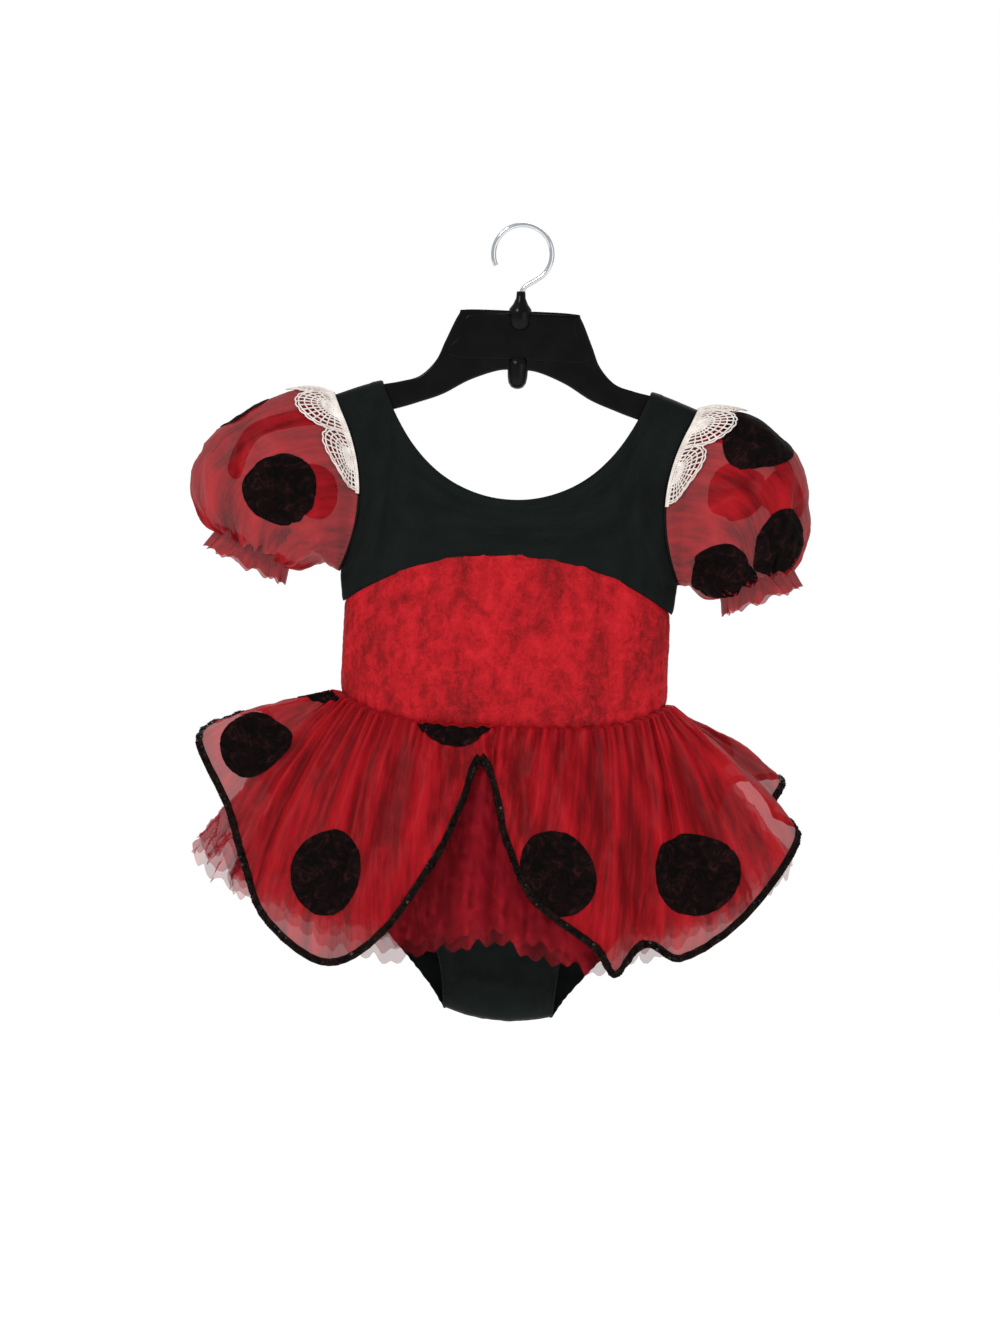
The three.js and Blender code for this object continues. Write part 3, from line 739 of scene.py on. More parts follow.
def yoke_point(facing):
    def point(u, v):
        along, side = np.abs(u), np.sign(u)
        neck_x, neck_z = neckline(along / STRAP_U, facing)
        strap_x = mix(STRAP_X, SHOULDER_X, (along - STRAP_U) / (1 - STRAP_U))
        on_strap = along > STRAP_U
        top_x = side * np.where(on_strap, strap_x, neck_x)
        top_z = np.where(on_strap, shoulder_z(strap_x), neck_z)
        hem_x = HALF * (np.sin(u * math.pi / 2) + u) / 2
        edge = bodice_x(mix(ARMHOLE_TOP, ARCH_SIDE, v)) - mix(SHOULDER_X, HALF, v)
        x = mix(top_x, hem_x, v) + side * along**3 * edge
        return bodice_point(x, mix(top_z, arch_z(hem_x), v), facing)

    return point


def midriff_point(facing):
    def point(u, v):
        x = HALF * np.sin(np.clip(u, -1, 1) * math.pi / 2)
        return bodice_point(x, mix(arch_z(x), waist_z(x), v), facing)

    return point


def brief_point(facing):
    half_at = through(BRIEF, "z", "front" if facing < 0 else "back")

    def point(u, v):
        nominal = mix(WAIST_SIDE, CROTCH_Z, v)
        half = half_at(nominal)
        across = half * np.sin(np.clip(u, -1, 1) * math.pi / 2)
        x = across + LEAN_X * ease((LEAN_FROM - nominal) / LEAN_OVER)
        z = nominal + (waist_z(x) - WAIST_SIDE) * np.maximum(1 - v, 0) ** 2
        z = z + CROTCH_RISE * (x - CROTCH_X) ** 2 * v**3
        round_off = np.sqrt(np.maximum(1 - (across / half) ** 2, 0))
        cap = np.sqrt(1 - (1 - np.clip((1 - v) / CROTCH_ROUND, 0, 1)) ** 2)
        edge = np.clip(brief_edge_at(nominal), 0, 1)
        depth = depth_at(nominal) * mix(edge, 1, round_off)
        return xyz(x, facing * (SEAM + cap * depth), z)

    return point


def puff_point(side):
    """The puff's own form: around goes from the top of a ring over its front, ring counts from
    the armhole to the elastic."""
    rings = PUFFS[side]
    sign = -1 if side == "left" else 1
    read = {name: through(rings, "ring", name) for name in rings if name != "ring"}

    def point(around, ring):
        c, s = np.cos(around), np.sin(around)
        fold = np.cos(CUFF_FOLDS * around) * CUFF_FOLD * ease(ring / CUFF - 0.35)
        ox, oz, ux, uz, depth, inset = (read[n](ring) for n in ("ox", "oz", "ux", "uz", "depth", "inset"))
        reach = c * (1 + fold / (np.hypot(ox - ux, oz - uz) / 2))
        x = (ox + ux) / 2 + reach * (ox - ux) / 2 - inset * s**2
        z = (oz + uz) / 2 + reach * (oz - uz) / 2
        seam = bodice_y(armhole_x(armhole_share(z)), z) * np.minimum(np.abs(s) * 12, 1)
        full = (depth + fold) * np.abs(s) ** 0.8
        y = mix(seam, full, ease(ring / 1.2))
        return xyz(sign * x, -np.sign(s) * y, z)

    return point


def frill_point(side, base):
    """The frill below the elastic of a puff, whose form with its folds is base: t runs from the
    elastic to the free edge, over which the small folds open out."""
    plain = puff_point(side)
    sign = -1 if side == "left" else 1
    ox, oz, ux, uz = (PUFFS[side][name][-1] for name in ("ox", "oz", "ux", "uz"))
    chord = unit(np.array([ox - ux, 0, oz - uz]))
    away = np.array([chord[2] * sign, 0, -chord[0]])
    centre = np.array([sign * (ox + ux) / 2, 0, (oz + uz) / 2])

    def point(around, t):
        start = mix(base(around, CUFF), plain(around, CUFF), 0.8 * ease(t * 1.2)[..., None])
        spoke = start - centre
        wander = 0.9 * np.sin(around * 3 + 1) + 0.6 * np.sin(around * 5 + 2)
        calm = 0.3 + 0.7 * np.sin(around) ** 2
        wave = calm * np.cos(FRILL["waves"] * around + wander) * FRILL["wave"] * 0.8 * ease(t * 1.2)
        size = np.linalg.norm(spoke, axis=-1)
        scale = 1 + (FRILL["flare"] * calm * t + wave) / size
        rise = FRILL["seam"] * ease(t * 8) + FRILL["length"] * t + 0.6 * wave
        return centre + spoke * scale[..., None] + away * rise[..., None]

    return point


def waist_point(turn, out):
    a = np.radians(turn)
    x = HALF * np.sin(a)
    z = waist_z(x) - SEAM - 0.5
    away = out + WAIST_EASE
    return xyz(x + away * np.sin(a), -depth_at(z) * np.cos(a) - away * np.cos(a), z)


def hanging_cloth(hem, out, lift):
    """A skirt: turn goes round the waist, share from the waist to the hem."""
    read = [through(hem, "turn", name, 360) for name in ("x", "y", "z")]

    def point(turn, share, wave=0):
        share = np.asarray(share, float)
        waist = waist_point(turn, out)
        end = np.stack([f(turn) for f in read], axis=-1)
        flat = end * [1, 1, 0]
        away = unit(flat)
        reach = np.linalg.norm(end - waist, axis=-1)
        bow = 4 * share * (1 - share) * lift * np.minimum(reach / OVERSKIRT_CUT, 1)
        at = mix(waist, end, share[..., None]) + away * (bow + wave)[..., None]
        return at + xyz(0, 0, bow * 0.5)

    return point


def normals_at(point, u, v, du, dv, outward):
    across = point(u + du, v) - point(u - du, v)
    down = point(u, v + dv) - point(u, v - dv)
    return unit(np.cross(across, down)) * outward


def dressed(point, rise, du, dv, outward):
    """A form with its folds: rise gives how far each place stands out along the form's normal,
    from its place in cloth coordinates and in space."""

    def folded(u, v):
        at = point(u, v)
        return at + normals_at(point, u, v, du, dv, outward) * rise(u, v, at)[..., None]

    return folded


def crease_rise(at, creases):
    """Folds pressed into a cloth. A crease runs in the plane of the picture from x0, z0 to x1,
    z1, and stands out by depth, or lies in where depth is negative, with a lip on either side."""
    flat = at[..., [0, 2]]
    rise = np.zeros(flat.shape[:-1])
    for x0, z0, x1, z1, width, depth in creases:
        share, gap = segment_share(flat, (x0, z0), (x1, z1))
        fade = np.sin(math.pi * np.clip(share * 0.9 + 0.05, 0, 1)) ** 0.7
        near = (gap / width) ** 2
        rise += depth * fade * np.exp(-near) * (1 - 0.6 * near)
    return rise


def off_line(at, line):
    """How far places lie from a line of points, in the plane of the picture."""
    flat = at[..., [0, 2]].reshape(-1, 2)
    gaps = [np.linalg.norm(part[:, None] - line[None], axis=-1).min(1) for part in np.array_split(flat, 40)]
    return np.concatenate(gaps).reshape(at.shape[:-1])


def spread(low, high, count):
    return np.linspace(low, high, count + 1)


def laid_grid(point, us, vs):
    u, v = np.meshgrid(us, vs)
    return point(u, v)


def place_seen(point, us, vs, x, z):
    """The cloth's own coordinates of the place that the picture shows at x, z."""
    u, v = np.meshgrid(us, vs)
    at = point(u, v)
    nearest = np.argmin((at[..., 0] - x) ** 2 + (at[..., 2] - z) ** 2)
    return float(u.flat[nearest]), float(v.flat[nearest])


def round_patch(name, point, centre, size, material, du, dv, outward, tilt=0, lowest=None, off=0.55):
    """A round of flock on a cloth, at a place in the cloth's coordinates and of a size in
    millimetres (across and down), lying off its surface. lowest keeps it below a seam."""
    u0, v0 = (np.array(c, float) for c in centre)
    wide, tall = 8 * du, 3 * dv
    across = (point(u0 + wide, v0) - point(u0 - wide, v0)) / (2 * wide)
    down = (point(u0, v0 + tall) - point(u0, v0 - tall)) / (2 * tall)
    along = unit(across)
    skew = down @ along
    drop = np.linalg.norm(down - skew * along)
    rings, spokes = 18, 80
    a = np.linspace(0, math.tau, spokes, endpoint=False)
    ragged = 1 + 0.012 * crumple(np.cos(a) * 30, np.sin(a) * 30, 9, SEED + int(abs(u0) * 10))
    r = np.linspace(0, 1, rings)[:, None] * ragged
    p = r * np.cos(a + tilt) * size[0] / 2
    q = r * np.sin(a + tilt) * size[1] / 2
    p, q = p * math.cos(tilt) + q * math.sin(tilt), q * math.cos(tilt) - p * math.sin(tilt)
    v = v0 + q / drop
    if lowest is not None:
        v = np.maximum(v, lowest)
    stretch = np.linalg.norm(point(u0 + wide, v) - point(u0 - wide, v), axis=-1) / (2 * wide)
    u = u0 + (p - (v - v0) * skew) / stretch
    at = point(u, v) + normals_at(point, u, v, du, dv, outward) * off
    faces = grid_faces(rings, spokes, closed=True, outward=1)
    uv = np.stack([p, q], axis=-1).reshape(-1, 2) * MM
    made = mesh_object(name, at.reshape(-1, 3), faces, material, uv)
    tidy = bmesh.new()
    tidy.from_mesh(made.data)
    bmesh.ops.remove_doubles(tidy, verts=tidy.verts, dist=0.02 * MM)
    bmesh.ops.dissolve_degenerate(tidy, edges=tidy.edges, dist=0.01 * MM)
    tidy.to_mesh(made.data)
    tidy.free()
    face_along(made, point, centre, du, dv, outward)
    return made


def face_along(made, point, centre, du, dv, outward):
    """Turns a patch's faces to the side that its cloth's outside faces."""
    u, v = (np.array(c, float) for c in centre)
    want = normals_at(point, u, v, du, dv, outward)
    total = sum((np.array(p.normal) * p.area for p in made.data.polygons), np.zeros(3))
    if total @ want < 0:
        made.data.flip_normals()


# Threads, stitches and sequins
def tubes(name, paths, radius, material, sides=3):
    """Round threads or wires along paths of points in millimetres, as one mesh."""
    curve = bpy.data.curves.new(name, "CURVE")
    curve.dimensions = "3D"
    curve.bevel_depth = radius * MM
    curve.bevel_resolution = sides
    curve.use_fill_caps = True
    for path in paths:
        spline = curve.splines.new("POLY")
        spline.points.add(len(path) - 1)
        places = np.concatenate([np.asarray(path) * MM, np.ones((len(path), 1))], axis=1)
        spline.points.foreach_set("co", places.ravel())
    drawn = bpy.data.objects.new(name + "_path", curve)
    bpy.context.scene.collection.objects.link(drawn)
    made = plain_mesh(name, drawn)
    made.data.materials.clear()
    made.data.materials.append(material)
    made.data.polygons.foreach_set("use_smooth", [True] * len(made.data.polygons))
    return made


def plain_mesh(name, source):
    """The finished form of an object that modifiers or a bevel make, as a plain mesh piece."""
    shown = source.evaluated_get(bpy.context.evaluated_depsgraph_get())
    mesh = bpy.data.meshes.new_from_object(shown)
    mesh.name = name
    bpy.data.objects.remove(source)
    made = bpy.data.objects.new(name, mesh)
    bpy.context.scene.collection.objects.link(made)
    return made


def strung_tree(name, kind, shape):
    """A tree that sets one small shape on every point of a path, laid along the path and facing
    away from the cloth, each a little askew."""
    tree = bpy.data.node_groups.new(name, "GeometryNodeTree")
    face = tree.interface
    face.new_socket("Path points", in_out="INPUT", socket_type="NodeSocketGeometry")
    for size in ("Length", "Width", "Thickness", "Askew"):
        face.new_socket(size, in_out="INPUT", socket_type="NodeSocketFloat")
    face.new_socket("Seed", in_out="INPUT", socket_type="NodeSocketInt")
    face.new_socket("Finish", in_out="INPUT", socket_type="NodeSocketMaterial")
    face.new_socket("Pieces", in_out="OUTPUT", socket_type="NodeSocketGeometry")
    given = add(tree, "NodeGroupInput").outputs
    one = add(tree, kind, shape).outputs["Mesh"]
    away = add(tree, "GeometryNodeInputNamedAttribute", {"Name": "away"}, data_type="FLOAT_VECTOR")
    along = add(tree, "GeometryNodeInputNamedAttribute", {"Name": "along"}, data_type="FLOAT_VECTOR")
    upright = add(
        tree,
        "FunctionNodeAlignRotationToVector",
        {"Vector": away.outputs["Attribute"]},
        axis="Z",
    ).outputs["Rotation"]
    turned = add(
        tree,
        "FunctionNodeAlignRotationToVector",
        {"Rotation": upright, "Vector": along.outputs["Attribute"]},
        axis="X",
        pivot_axis="Z",
    ).outputs["Rotation"]
    other = add(tree, "ShaderNodeMath", {0: given["Askew"], 1: -1.0}, operation="MULTIPLY")
    least = add(tree, "ShaderNodeCombineXYZ", {i: other.outputs[0] for i in range(3)})
    most = add(tree, "ShaderNodeCombineXYZ", {i: given["Askew"] for i in range(3)})
    askew = add(
        tree,
        "FunctionNodeRandomValue",
        {"Min": least.outputs[0], "Max": most.outputs[0], "Seed": given["Seed"]},
        data_type="FLOAT_VECTOR",
    ).outputs["Value"]
    lean = add(tree, "FunctionNodeEulerToRotation", {"Euler": askew}).outputs["Rotation"]
    laid = add(
        tree,
        "FunctionNodeRotateRotation",
        {"Rotation": turned, "Rotate By": lean},
        rotation_space="LOCAL",
    ).outputs["Rotation"]
    size = add(tree, "ShaderNodeCombineXYZ", {0: given["Length"], 1: given["Width"], 2: given["Thickness"]})
    set_out = add(
        tree,
        "GeometryNodeInstanceOnPoints",
        {"Points": given["Path points"], "Instance": one, "Rotation": laid, "Scale": size.outputs[0]},
    ).outputs["Instances"]
    real = add(tree, "GeometryNodeRealizeInstances", {"Geometry": set_out}).outputs["Geometry"]
    finished = add(tree, "GeometryNodeSetMaterial", {"Geometry": real, "Material": given["Finish"]})
    add(tree, "NodeGroupOutput", {"Pieces": finished.outputs["Geometry"]})
    return tree


STITCH_TREE = strung_tree("stitches", "GeometryNodeMeshIcoSphere", {"Radius": 0.5, "Subdivisions": 1})
SEQUIN_TREE = strung_tree(
    "sequins",
    "GeometryNodeMeshCone",
    {"Vertices": 9, "Radius Top": 0.3, "Radius Bottom": 0.5, "Depth": 1.0},
)


def strung(name, places, away, along, tree, size, askew, material):
    """Stitches or sequins at places in millimetres. size is length, width and thickness."""
    path = mesh_object(name + "_path", places, [], material)
    for title, values in (("away", away), ("along", along)):
        kept = path.data.attributes.new(title, "FLOAT_VECTOR", "POINT")
        kept.data.foreach_set("vector", np.asarray(values, np.float32).ravel())
    modifier = path.modifiers.new("strung", "NODES")
    modifier.node_group = tree
    given = {
        "Length": size[0] * MM,
        "Width": size[1] * MM,
        "Thickness": size[2] * MM,
        "Askew": askew,
        "Seed": SEED,
        "Finish": material,
    }
    for socket in tree.interface.items_tree:
        if socket.in_out == "INPUT" and socket.name in given:
            modifier[socket.identifier] = given[socket.name]
    return plain_mesh(name, path)


def spaced(line, pitch, *also):
    """A line of points taken at even spacing, with other columns that follow it."""
    gone = np.concatenate([[0], np.cumsum(np.linalg.norm(np.diff(line, axis=0), axis=-1))])
    at = np.arange(pitch / 2, gone[-1], pitch)
    return [np.stack([np.interp(at, gone, c) for c in column.T], axis=-1) for column in (line, *also)]


def seam_stitches(name, lines, pitch, material, length=2.3, width=0.5):
    """Rows of stitches. Each line is points on the cloth and the way that the cloth faces."""
    places, away, along = [], [], []
    for line, out in lines:
        at, facing = spaced(line, pitch, out)
        places.append(at + unit(facing) * 0.12)
        away.append(unit(facing))
        along.append(unit(np.gradient(at, axis=0)))
    joined = [np.concatenate(part) for part in (places, away, along)]
    return strung(name, *joined, STITCH_TREE, (length, width, 0.36), 0.06, material)


# The leotard
JERSEY_THICK, VELVET_THICK = 0.9, 1.1
NECK_HEM = 8  # width of the turned edge at the neckline
NECK_ROWS = (6.8, 3.4)  # its two rows of stitching, from the edge
ARCH_ROW = 1 - 2.6 / 110  # share of the yoke's height at the row beside the arched seam
LEG_ROWS = (0.94, 0.9)  # shares of the brief's half width
LEG_FROM, LEG_TO = 0.47, 0.985  # shares of the brief's height

# Folds as x0, z0, x1, z1, width, depth.
YOKE_CREASES = {
    FRONT: [
        (-112, -200, -70, -250, 9, 1.5),
        (-118, -236, -84, -262, 7, 1.3),
        (-104, -150, -92, -196, 8, 1.1),
        (110, -196, 74, -246, 9, 1.4),
        (116, -232, 92, -266, 7, 1.2),
        (108, -146, 94, -190, 8, 1.1),
        (-40, -216, -30, -244, 12, 0.8),
        (36, -214, 44, -246, 12, 0.8),
    ],
    BACK: [
        (-112, -204, -64, -252, 10, 1.4),
        (112, -200, 60, -250, 9, 1.5),
        (-104, -160, -88, -214, 8, 1.2),
        (104, -150, 90, -210, 9, 1.1),
        (0, -226, 4, -246, 14, 0.9),
    ],
}
MIDRIFF_CREASES = {
    FRONT: [
        (-96, -276, -78, -366, 8, 1.2),
        (-58, -262, -50, -368, 9, 1.1),
        (-14, -256, -22, -362, 8, 1.0),
        (26, -256, 34, -362, 9, 1.1),
        (66, -264, 58, -368, 8, 1.1),
        (98, -280, 84, -364, 8, 1.3),
    ],
    BACK: [
        (-90, -276, -84, -366, 9, 1.2),
        (-40, -262, -48, -368, 9, 1.2),
        (10, -256, 2, -362, 10, 1.0),
        (52, -262, 60, -368, 8, 1.2),
        (96, -280, 90, -364, 8, 1.2),
    ],
}
BRIEF_CREASES = {
    FRONT: [
        (-60, -400, -30, -500, 9, 1.2),
        (20, -430, 14, -560, 9, 1.3),
        (-18, -470, -10, -570, 8, 1.2),
        (48, -450, 40, -550, 8, 1.1),
        (-40, -560, 50, -572, 6, 0.9),
    ],
    BACK: [
        (-70, -400, -40, -520, 10, 1.5),
        (60, -400, 44, -540, 10, 1.4),
        (0, -430, 8, -570, 9, 1.2),
        (-60, -540, 64, -560, 8, 1.0),
    ],
}


def neck_line(facing):
    x, z = neckline(np.abs(spread(-1, 1, 240)), facing)
    return np.stack([x * np.sign(spread(-1, 1, 240)), z], axis=-1)


def yoke_rise(facing):
    neck = neck_line(facing)

    def rise(u, v, at):
        x, z = at[..., 0], at[..., 2]
        calm = ease((float(shoulder_z(STRAP_X)) - z) / 30)
        soft = 0.7 * crumple(x, z, 74, SEED + facing) + 0.22 * crumple(x, z, 21, SEED + 3 + facing)
        folds = crease_rise(at, YOKE_CREASES[facing])
        hem = 0.45 * (1 - ease((off_line(at, neck) - NECK_HEM) / 0.9))
        seam = -0.8 * np.exp(-(((z - arch_z(x)) / 1.6) ** 2))
        return calm * (soft + folds) + hem + seam

    return rise


def midriff_rise(facing):
    def rise(u, v, at):
        x, z = at[..., 0], at[..., 2]
        soft = 0.8 * crumple(x, z * 0.45, 46, SEED + 11 + facing) + 0.2 * crumple(x, z, 12, SEED + 13)
        waist = np.clip((z - waist_z(x)) / 26, 0, 1)
        gathers = 0.7 * (1 - ease(waist)) * np.sin(x * 0.62 + 2.2 * np.sin(x * 0.11 + facing))
        top = -0.8 * np.exp(-(((z - arch_z(x)) / 1.6) ** 2))
        low = -0.9 * np.exp(-(((z - waist_z(x)) / 2.0) ** 2))
        under = -1.2 * ease(-v / 0.015)
        return soft + crease_rise(at, MIDRIFF_CREASES[facing]) + gathers + top + low + under

    return rise


def brief_rise(facing):
    def rise(u, v, at):
        x, z = at[..., 0], at[..., 2]
        middle = 1 - np.abs(u) ** 6
        soft = 0.6 * crumple(x, z, 60, SEED + 21 + facing) + 0.15 * crumple(x, z, 18, SEED + 23)
        leg = ease((-z - 462) / 20) * ease((np.abs(u) - 0.86) / 0.05)
        pulls = 0.5 * leg * (1 + 0.6 * np.sin(z * 1.5 + 2 * np.sin(z * 0.2)))
        return middle * (soft + crease_rise(at, BRIEF_CREASES[facing])) + pulls

    return rise


YOKES = {f: dressed(yoke_point(f), yoke_rise(f), 0.004, 0.006, f) for f in (FRONT, BACK)}
MIDRIFFS = {f: dressed(midriff_point(f), midriff_rise(f), 0.004, 0.01, f) for f in (FRONT, BACK)}
BRIEFS = {f: dressed(brief_point(f), brief_rise(f), 0.004, 0.004, f) for f in (FRONT, BACK)}
END = {FRONT: "front", BACK: "back"}


def leotard_side(facing):
    """One side of the leotard: its pieces, and the rows of points that each was made from."""
    end = END[facing]
    strap_us = spread(STRAP_U, 1, 34)
    neck_us = STRAP_U * np.sin(spread(0, math.pi / 2, 70))
    us = np.unique(np.round(np.concatenate([-strap_us, -neck_us, neck_us, strap_us]), 6))
    yoke_vs = spread(0, 1, 96) ** 1.25
    grids = {
        "yoke": laid_grid(YOKES[facing], us, yoke_vs),
        "midriff": laid_grid(MIDRIFFS[facing], spread(-1, 1, 160), spread(-0.04, 1.025, 60)),
        "brief": laid_grid(BRIEFS[facing], np.sin(spread(-1, 1, 124) * math.pi / 2), spread(0, 1, 120)),
    }
    made = {}
    for part, grid in grids.items():
        material, thick, slot = JERSEY, JERSEY_THICK, "black_stretch_jersey"
        if part == "midriff":
            material, thick, slot = VELVET, VELVET_THICK, "red_crushed_velvet"
        piece = cloth(f"{part}_{end}_cloth", grid, material, outward=facing, thick=thick)
        made[part] = done(piece, slot, f"{part}_{end}")
    return made, grids


def along_curve(point, us, vs, outward, du, dv):
    """A line on a cloth and the way it faces there."""
    u, v = np.broadcast_arrays(np.asarray(us, float), np.asarray(vs, float))
    out = normals_at(point, u, v, du, dv, outward)
    return point(u, v) + out * JERSEY_THICK / 2, out


def neck_stitch_lines(facing):
    """Two rows of stitching that hold the neckline's turned edge."""
    lines = []
    for inset in NECK_ROWS:
        us = spread(-STRAP_U, STRAP_U, 220)
        top = YOKES[facing](us, np.zeros_like(us))
        tall = top[:, 2] - arch_z(top[:, 0])
        slope = np.gradient(neck_line(facing), axis=0)
        lean = np.abs(slope[:, 0]) / np.maximum(np.linalg.norm(slope, axis=-1), 1e-6)
        vs = inset / np.maximum(lean[np.linspace(0, 240, 221).astype(int)], 0.3) / tall
        lines.append(along_curve(YOKES[facing], us, np.minimum(vs, 0.16), facing, 0.004, 0.006))
    return lines


def seam_lines(facing):
    """A row beside the arched seam, on the yoke."""
    us = spread(-0.985, 0.985, 300)
    return [along_curve(YOKES[facing], us, ARCH_ROW, facing, 0.004, 0.006)]


def leg_lines(facing):
    """Zigzag rows over the leg elastic."""
    vs = spread(LEG_FROM, LEG_TO, 160)
    lines = []
    for side in (-1, 1):
        for inset in LEG_ROWS:
            lines.append(along_curve(BRIEFS[facing], side * inset, vs, facing, 0.004, 0.004))
    return lines


leotard_grids = {}
leotard_pieces = {}
for facing in (FRONT, BACK):
    made, grids = leotard_side(facing)
    threads = neck_stitch_lines(facing) + seam_lines(facing) + leg_lines(facing)
    stitches = seam_stitches(f"leotard_stitches_{END[facing]}", threads, 3.0, BLACK_THREAD)
    done(stitches, "black_stretch_jersey")
    leotard_grids[facing] = grids
    leotard_pieces[facing] = made


# Sleeves
SIGN = {"left": -1, "right": 1}
SLEEVE_CREASES = {
    "left": [
        (-128, -236, -176, -226, 8, 3.0),
        (-130, -222, -196, -196, 9, 3.2),
        (-134, -200, -190, -160, 10, 2.6),
        (-226, -180, -222, -232, 6, 3.0),
        (-206, -160, -214, -236, 7, -2.4),
        (-176, -176, -196, -248, 9, 2.4),
        (-150, -210, -182, -256, 7, -2.2),
        (-140, -240, -172, -262, 5, 2.0),
        (-160, -134, -148, -178, 8, 1.6),
    ],
    "right": [
        (120, -238, 172, -232, 8, 3.0),
        (122, -214, 186, -190, 9, 3.0),
        (140, -176, 196, -160, 9, 2.4),
        (206, -178, 198, -240, 7, 2.8),
        (176, -170, 184, -256, 9, -2.6),
        (146, -206, 166, -268, 8, 2.6),
        (130, -236, 150, -272, 6, -2.4),
        (156, -240, 178, -276, 5, 2.0),
        (160, -134, 150, -176, 8, 1.6),
    ],
}


def puff_rise(side):
    seed = SEED + 31 + SIGN[side]

    def rise(around, ring, at):
        x, y, z = at[..., 0], at[..., 1], at[..., 2]
        top = np.exp(-((ring / 1.3) ** 2))
        wander = 1.4 * np.sin(around * 5 + seed) + 0.9 * np.sin(around * 11)
        gathers = 0.8 * top * np.sin(around * 44 + wander * 2) * ease(ring * 3)
        cuff = ease((ring - 4.6) / 3.4) ** 1.4
        pleats = 2.3 * cuff * np.sin(around * 19 + wander * 1.6) + 0.8 * cuff * np.sin(around * 41 + wander)
        soft = 1.5 * crumple(x + y * 0.7, z - y * 0.4, 58, seed) + 0.35 * crumple(x + y, z, 19, seed + 1)
        open_part = ease((ring - 0.8) / 2) * (1 - 0.5 * cuff)
        folds = 1.5 * crease_rise(at, SLEEVE_CREASES[side])
        return (gathers + pleats + open_part * (soft + folds)) * ease(ring * 2)

    return rise


def frill_rise(around, t, at):
    small = 0.3 * np.sin(around * 19 + 3 * np.sin(around * 3)) * (1 - 0.5 * t)
    crushed = 0.5 * crumple(at[..., 0] + at[..., 1], at[..., 2], 26, SEED + 41, sharp=0.2)
    return ease(t * 5) * np.sin(around) ** 2 * (small + crushed)


# Rounds on each sleeve: place in the picture's plane, the side they face, and size.
SLEEVE_DOTS = {
    "left": [(-174, -205, FRONT, (58, 54)), (-210, -140, BACK, (46, 42)), (-150, -205, BACK, (44, 40))],
    "right": [
        (184, -146, FRONT, (62, 56)),
        (151, -254, FRONT, (56, 54)),
        (204, -232, FRONT, (56, 54)),
        (170, -190, BACK, (48, 44)),
        (208, -190, BACK, (44, 44)),
    ],
}
LACE_FIRST = math.tau * 5 / 16
LACE_END = LACE_FIRST * 0.86
FAN_HALF = LACE_FIRST / SCALLOPS
FAN_CELLS = 11  # radial threads in a fan
FAN_ROWS = (0.5, 0.65, 0.82, 0.97)
LACE_THREAD = 0.61  # radius
LACE_OFF = 2  # how far the lace lies off the sleeve
BINDING = 0.9  # radius of the cord-like seam round the armhole
HEADING = 0.16  # share of the lace's width that is worked straight along the seam


def lace_paths(side, point):
    """The threads of the crocheted lace: fans of radial threads crossed by scalloped rows, with
    a close-worked edge against the seam."""
    outward = SIGN[side]

    def wide(around):
        return LACE_WIDE * np.maximum(1 - (np.abs(around) / LACE_FIRST) ** 3, 0) + 2

    arounds = spread(-LACE_FIRST, LACE_FIRST, 420)
    rings = spread(0, 2.6, 130)
    grid = laid_grid(point, arounds, rings)
    gone = np.concatenate(
        [np.zeros((1, len(arounds))), np.cumsum(np.linalg.norm(np.diff(grid, axis=0), axis=-1), axis=0)]
    )

    def at(around, distance):
        around = np.asarray(around, float)
        distance = np.broadcast_to(distance, around.shape)
        column = (around + LACE_FIRST) / (2 * LACE_FIRST) * (len(arounds) - 1)
        low = np.clip(column.astype(int), 0, len(arounds) - 2)
        here = np.array([np.interp(d, gone[:, i], rings) for d, i in zip(distance, low)])
        there = np.array([np.interp(d, gone[:, i + 1], rings) for d, i in zip(distance, low)])
        ring = mix(here, there, column - low)
        out = normals_at(point, around, ring, 0.01, 0.05, outward)
        return point(around, ring) + out * LACE_OFF

    def shell(middle, bend, size):
        """A row of one fan: bend goes from one side of the fan to the other, and size is 1 at its
        edge."""
        around = np.clip(middle + np.sin(bend) * FAN_HALF * size, -LACE_FIRST, LACE_FIRST)
        rise = size * np.maximum(np.cos(bend), 0) ** 0.5
        return at(around, wide(around) * (HEADING + (1 - HEADING) * rise))

    close = spread(-LACE_END, LACE_END, 260)
    rows = [at(close, wide(close) * share) for share in (0.02, 0.07, HEADING)]
    bars = spread(-LACE_END * 0.99, LACE_END * 0.99, 130)
    rows += [at(np.full(3, bar), wide(np.full(3, bar)) * spread(0, HEADING, 2)) for bar in bars]
    spokes, picots, core = [], [], []
    bends = spread(-math.pi / 2, math.pi / 2, 40)
    for k in range(-2, 3):
        middle = k * 2 * FAN_HALF
        rows += [shell(middle, bends, size) for size in FAN_ROWS]
        core += [shell(middle, bends, size) for size in spread(0.1, 0.38, 7)]
        for bend in spread(-1.45, 1.45, FAN_CELLS):
            spokes.append(shell(middle, np.full(8, bend), spread(0.3, 1, 7)))
        fine = spread(-math.pi / 2, math.pi / 2, 120)
        picots.append(shell(middle, fine, 1.02 + 0.035 * np.abs(np.sin(fine * 9))))
    return rows, spokes, picots, core


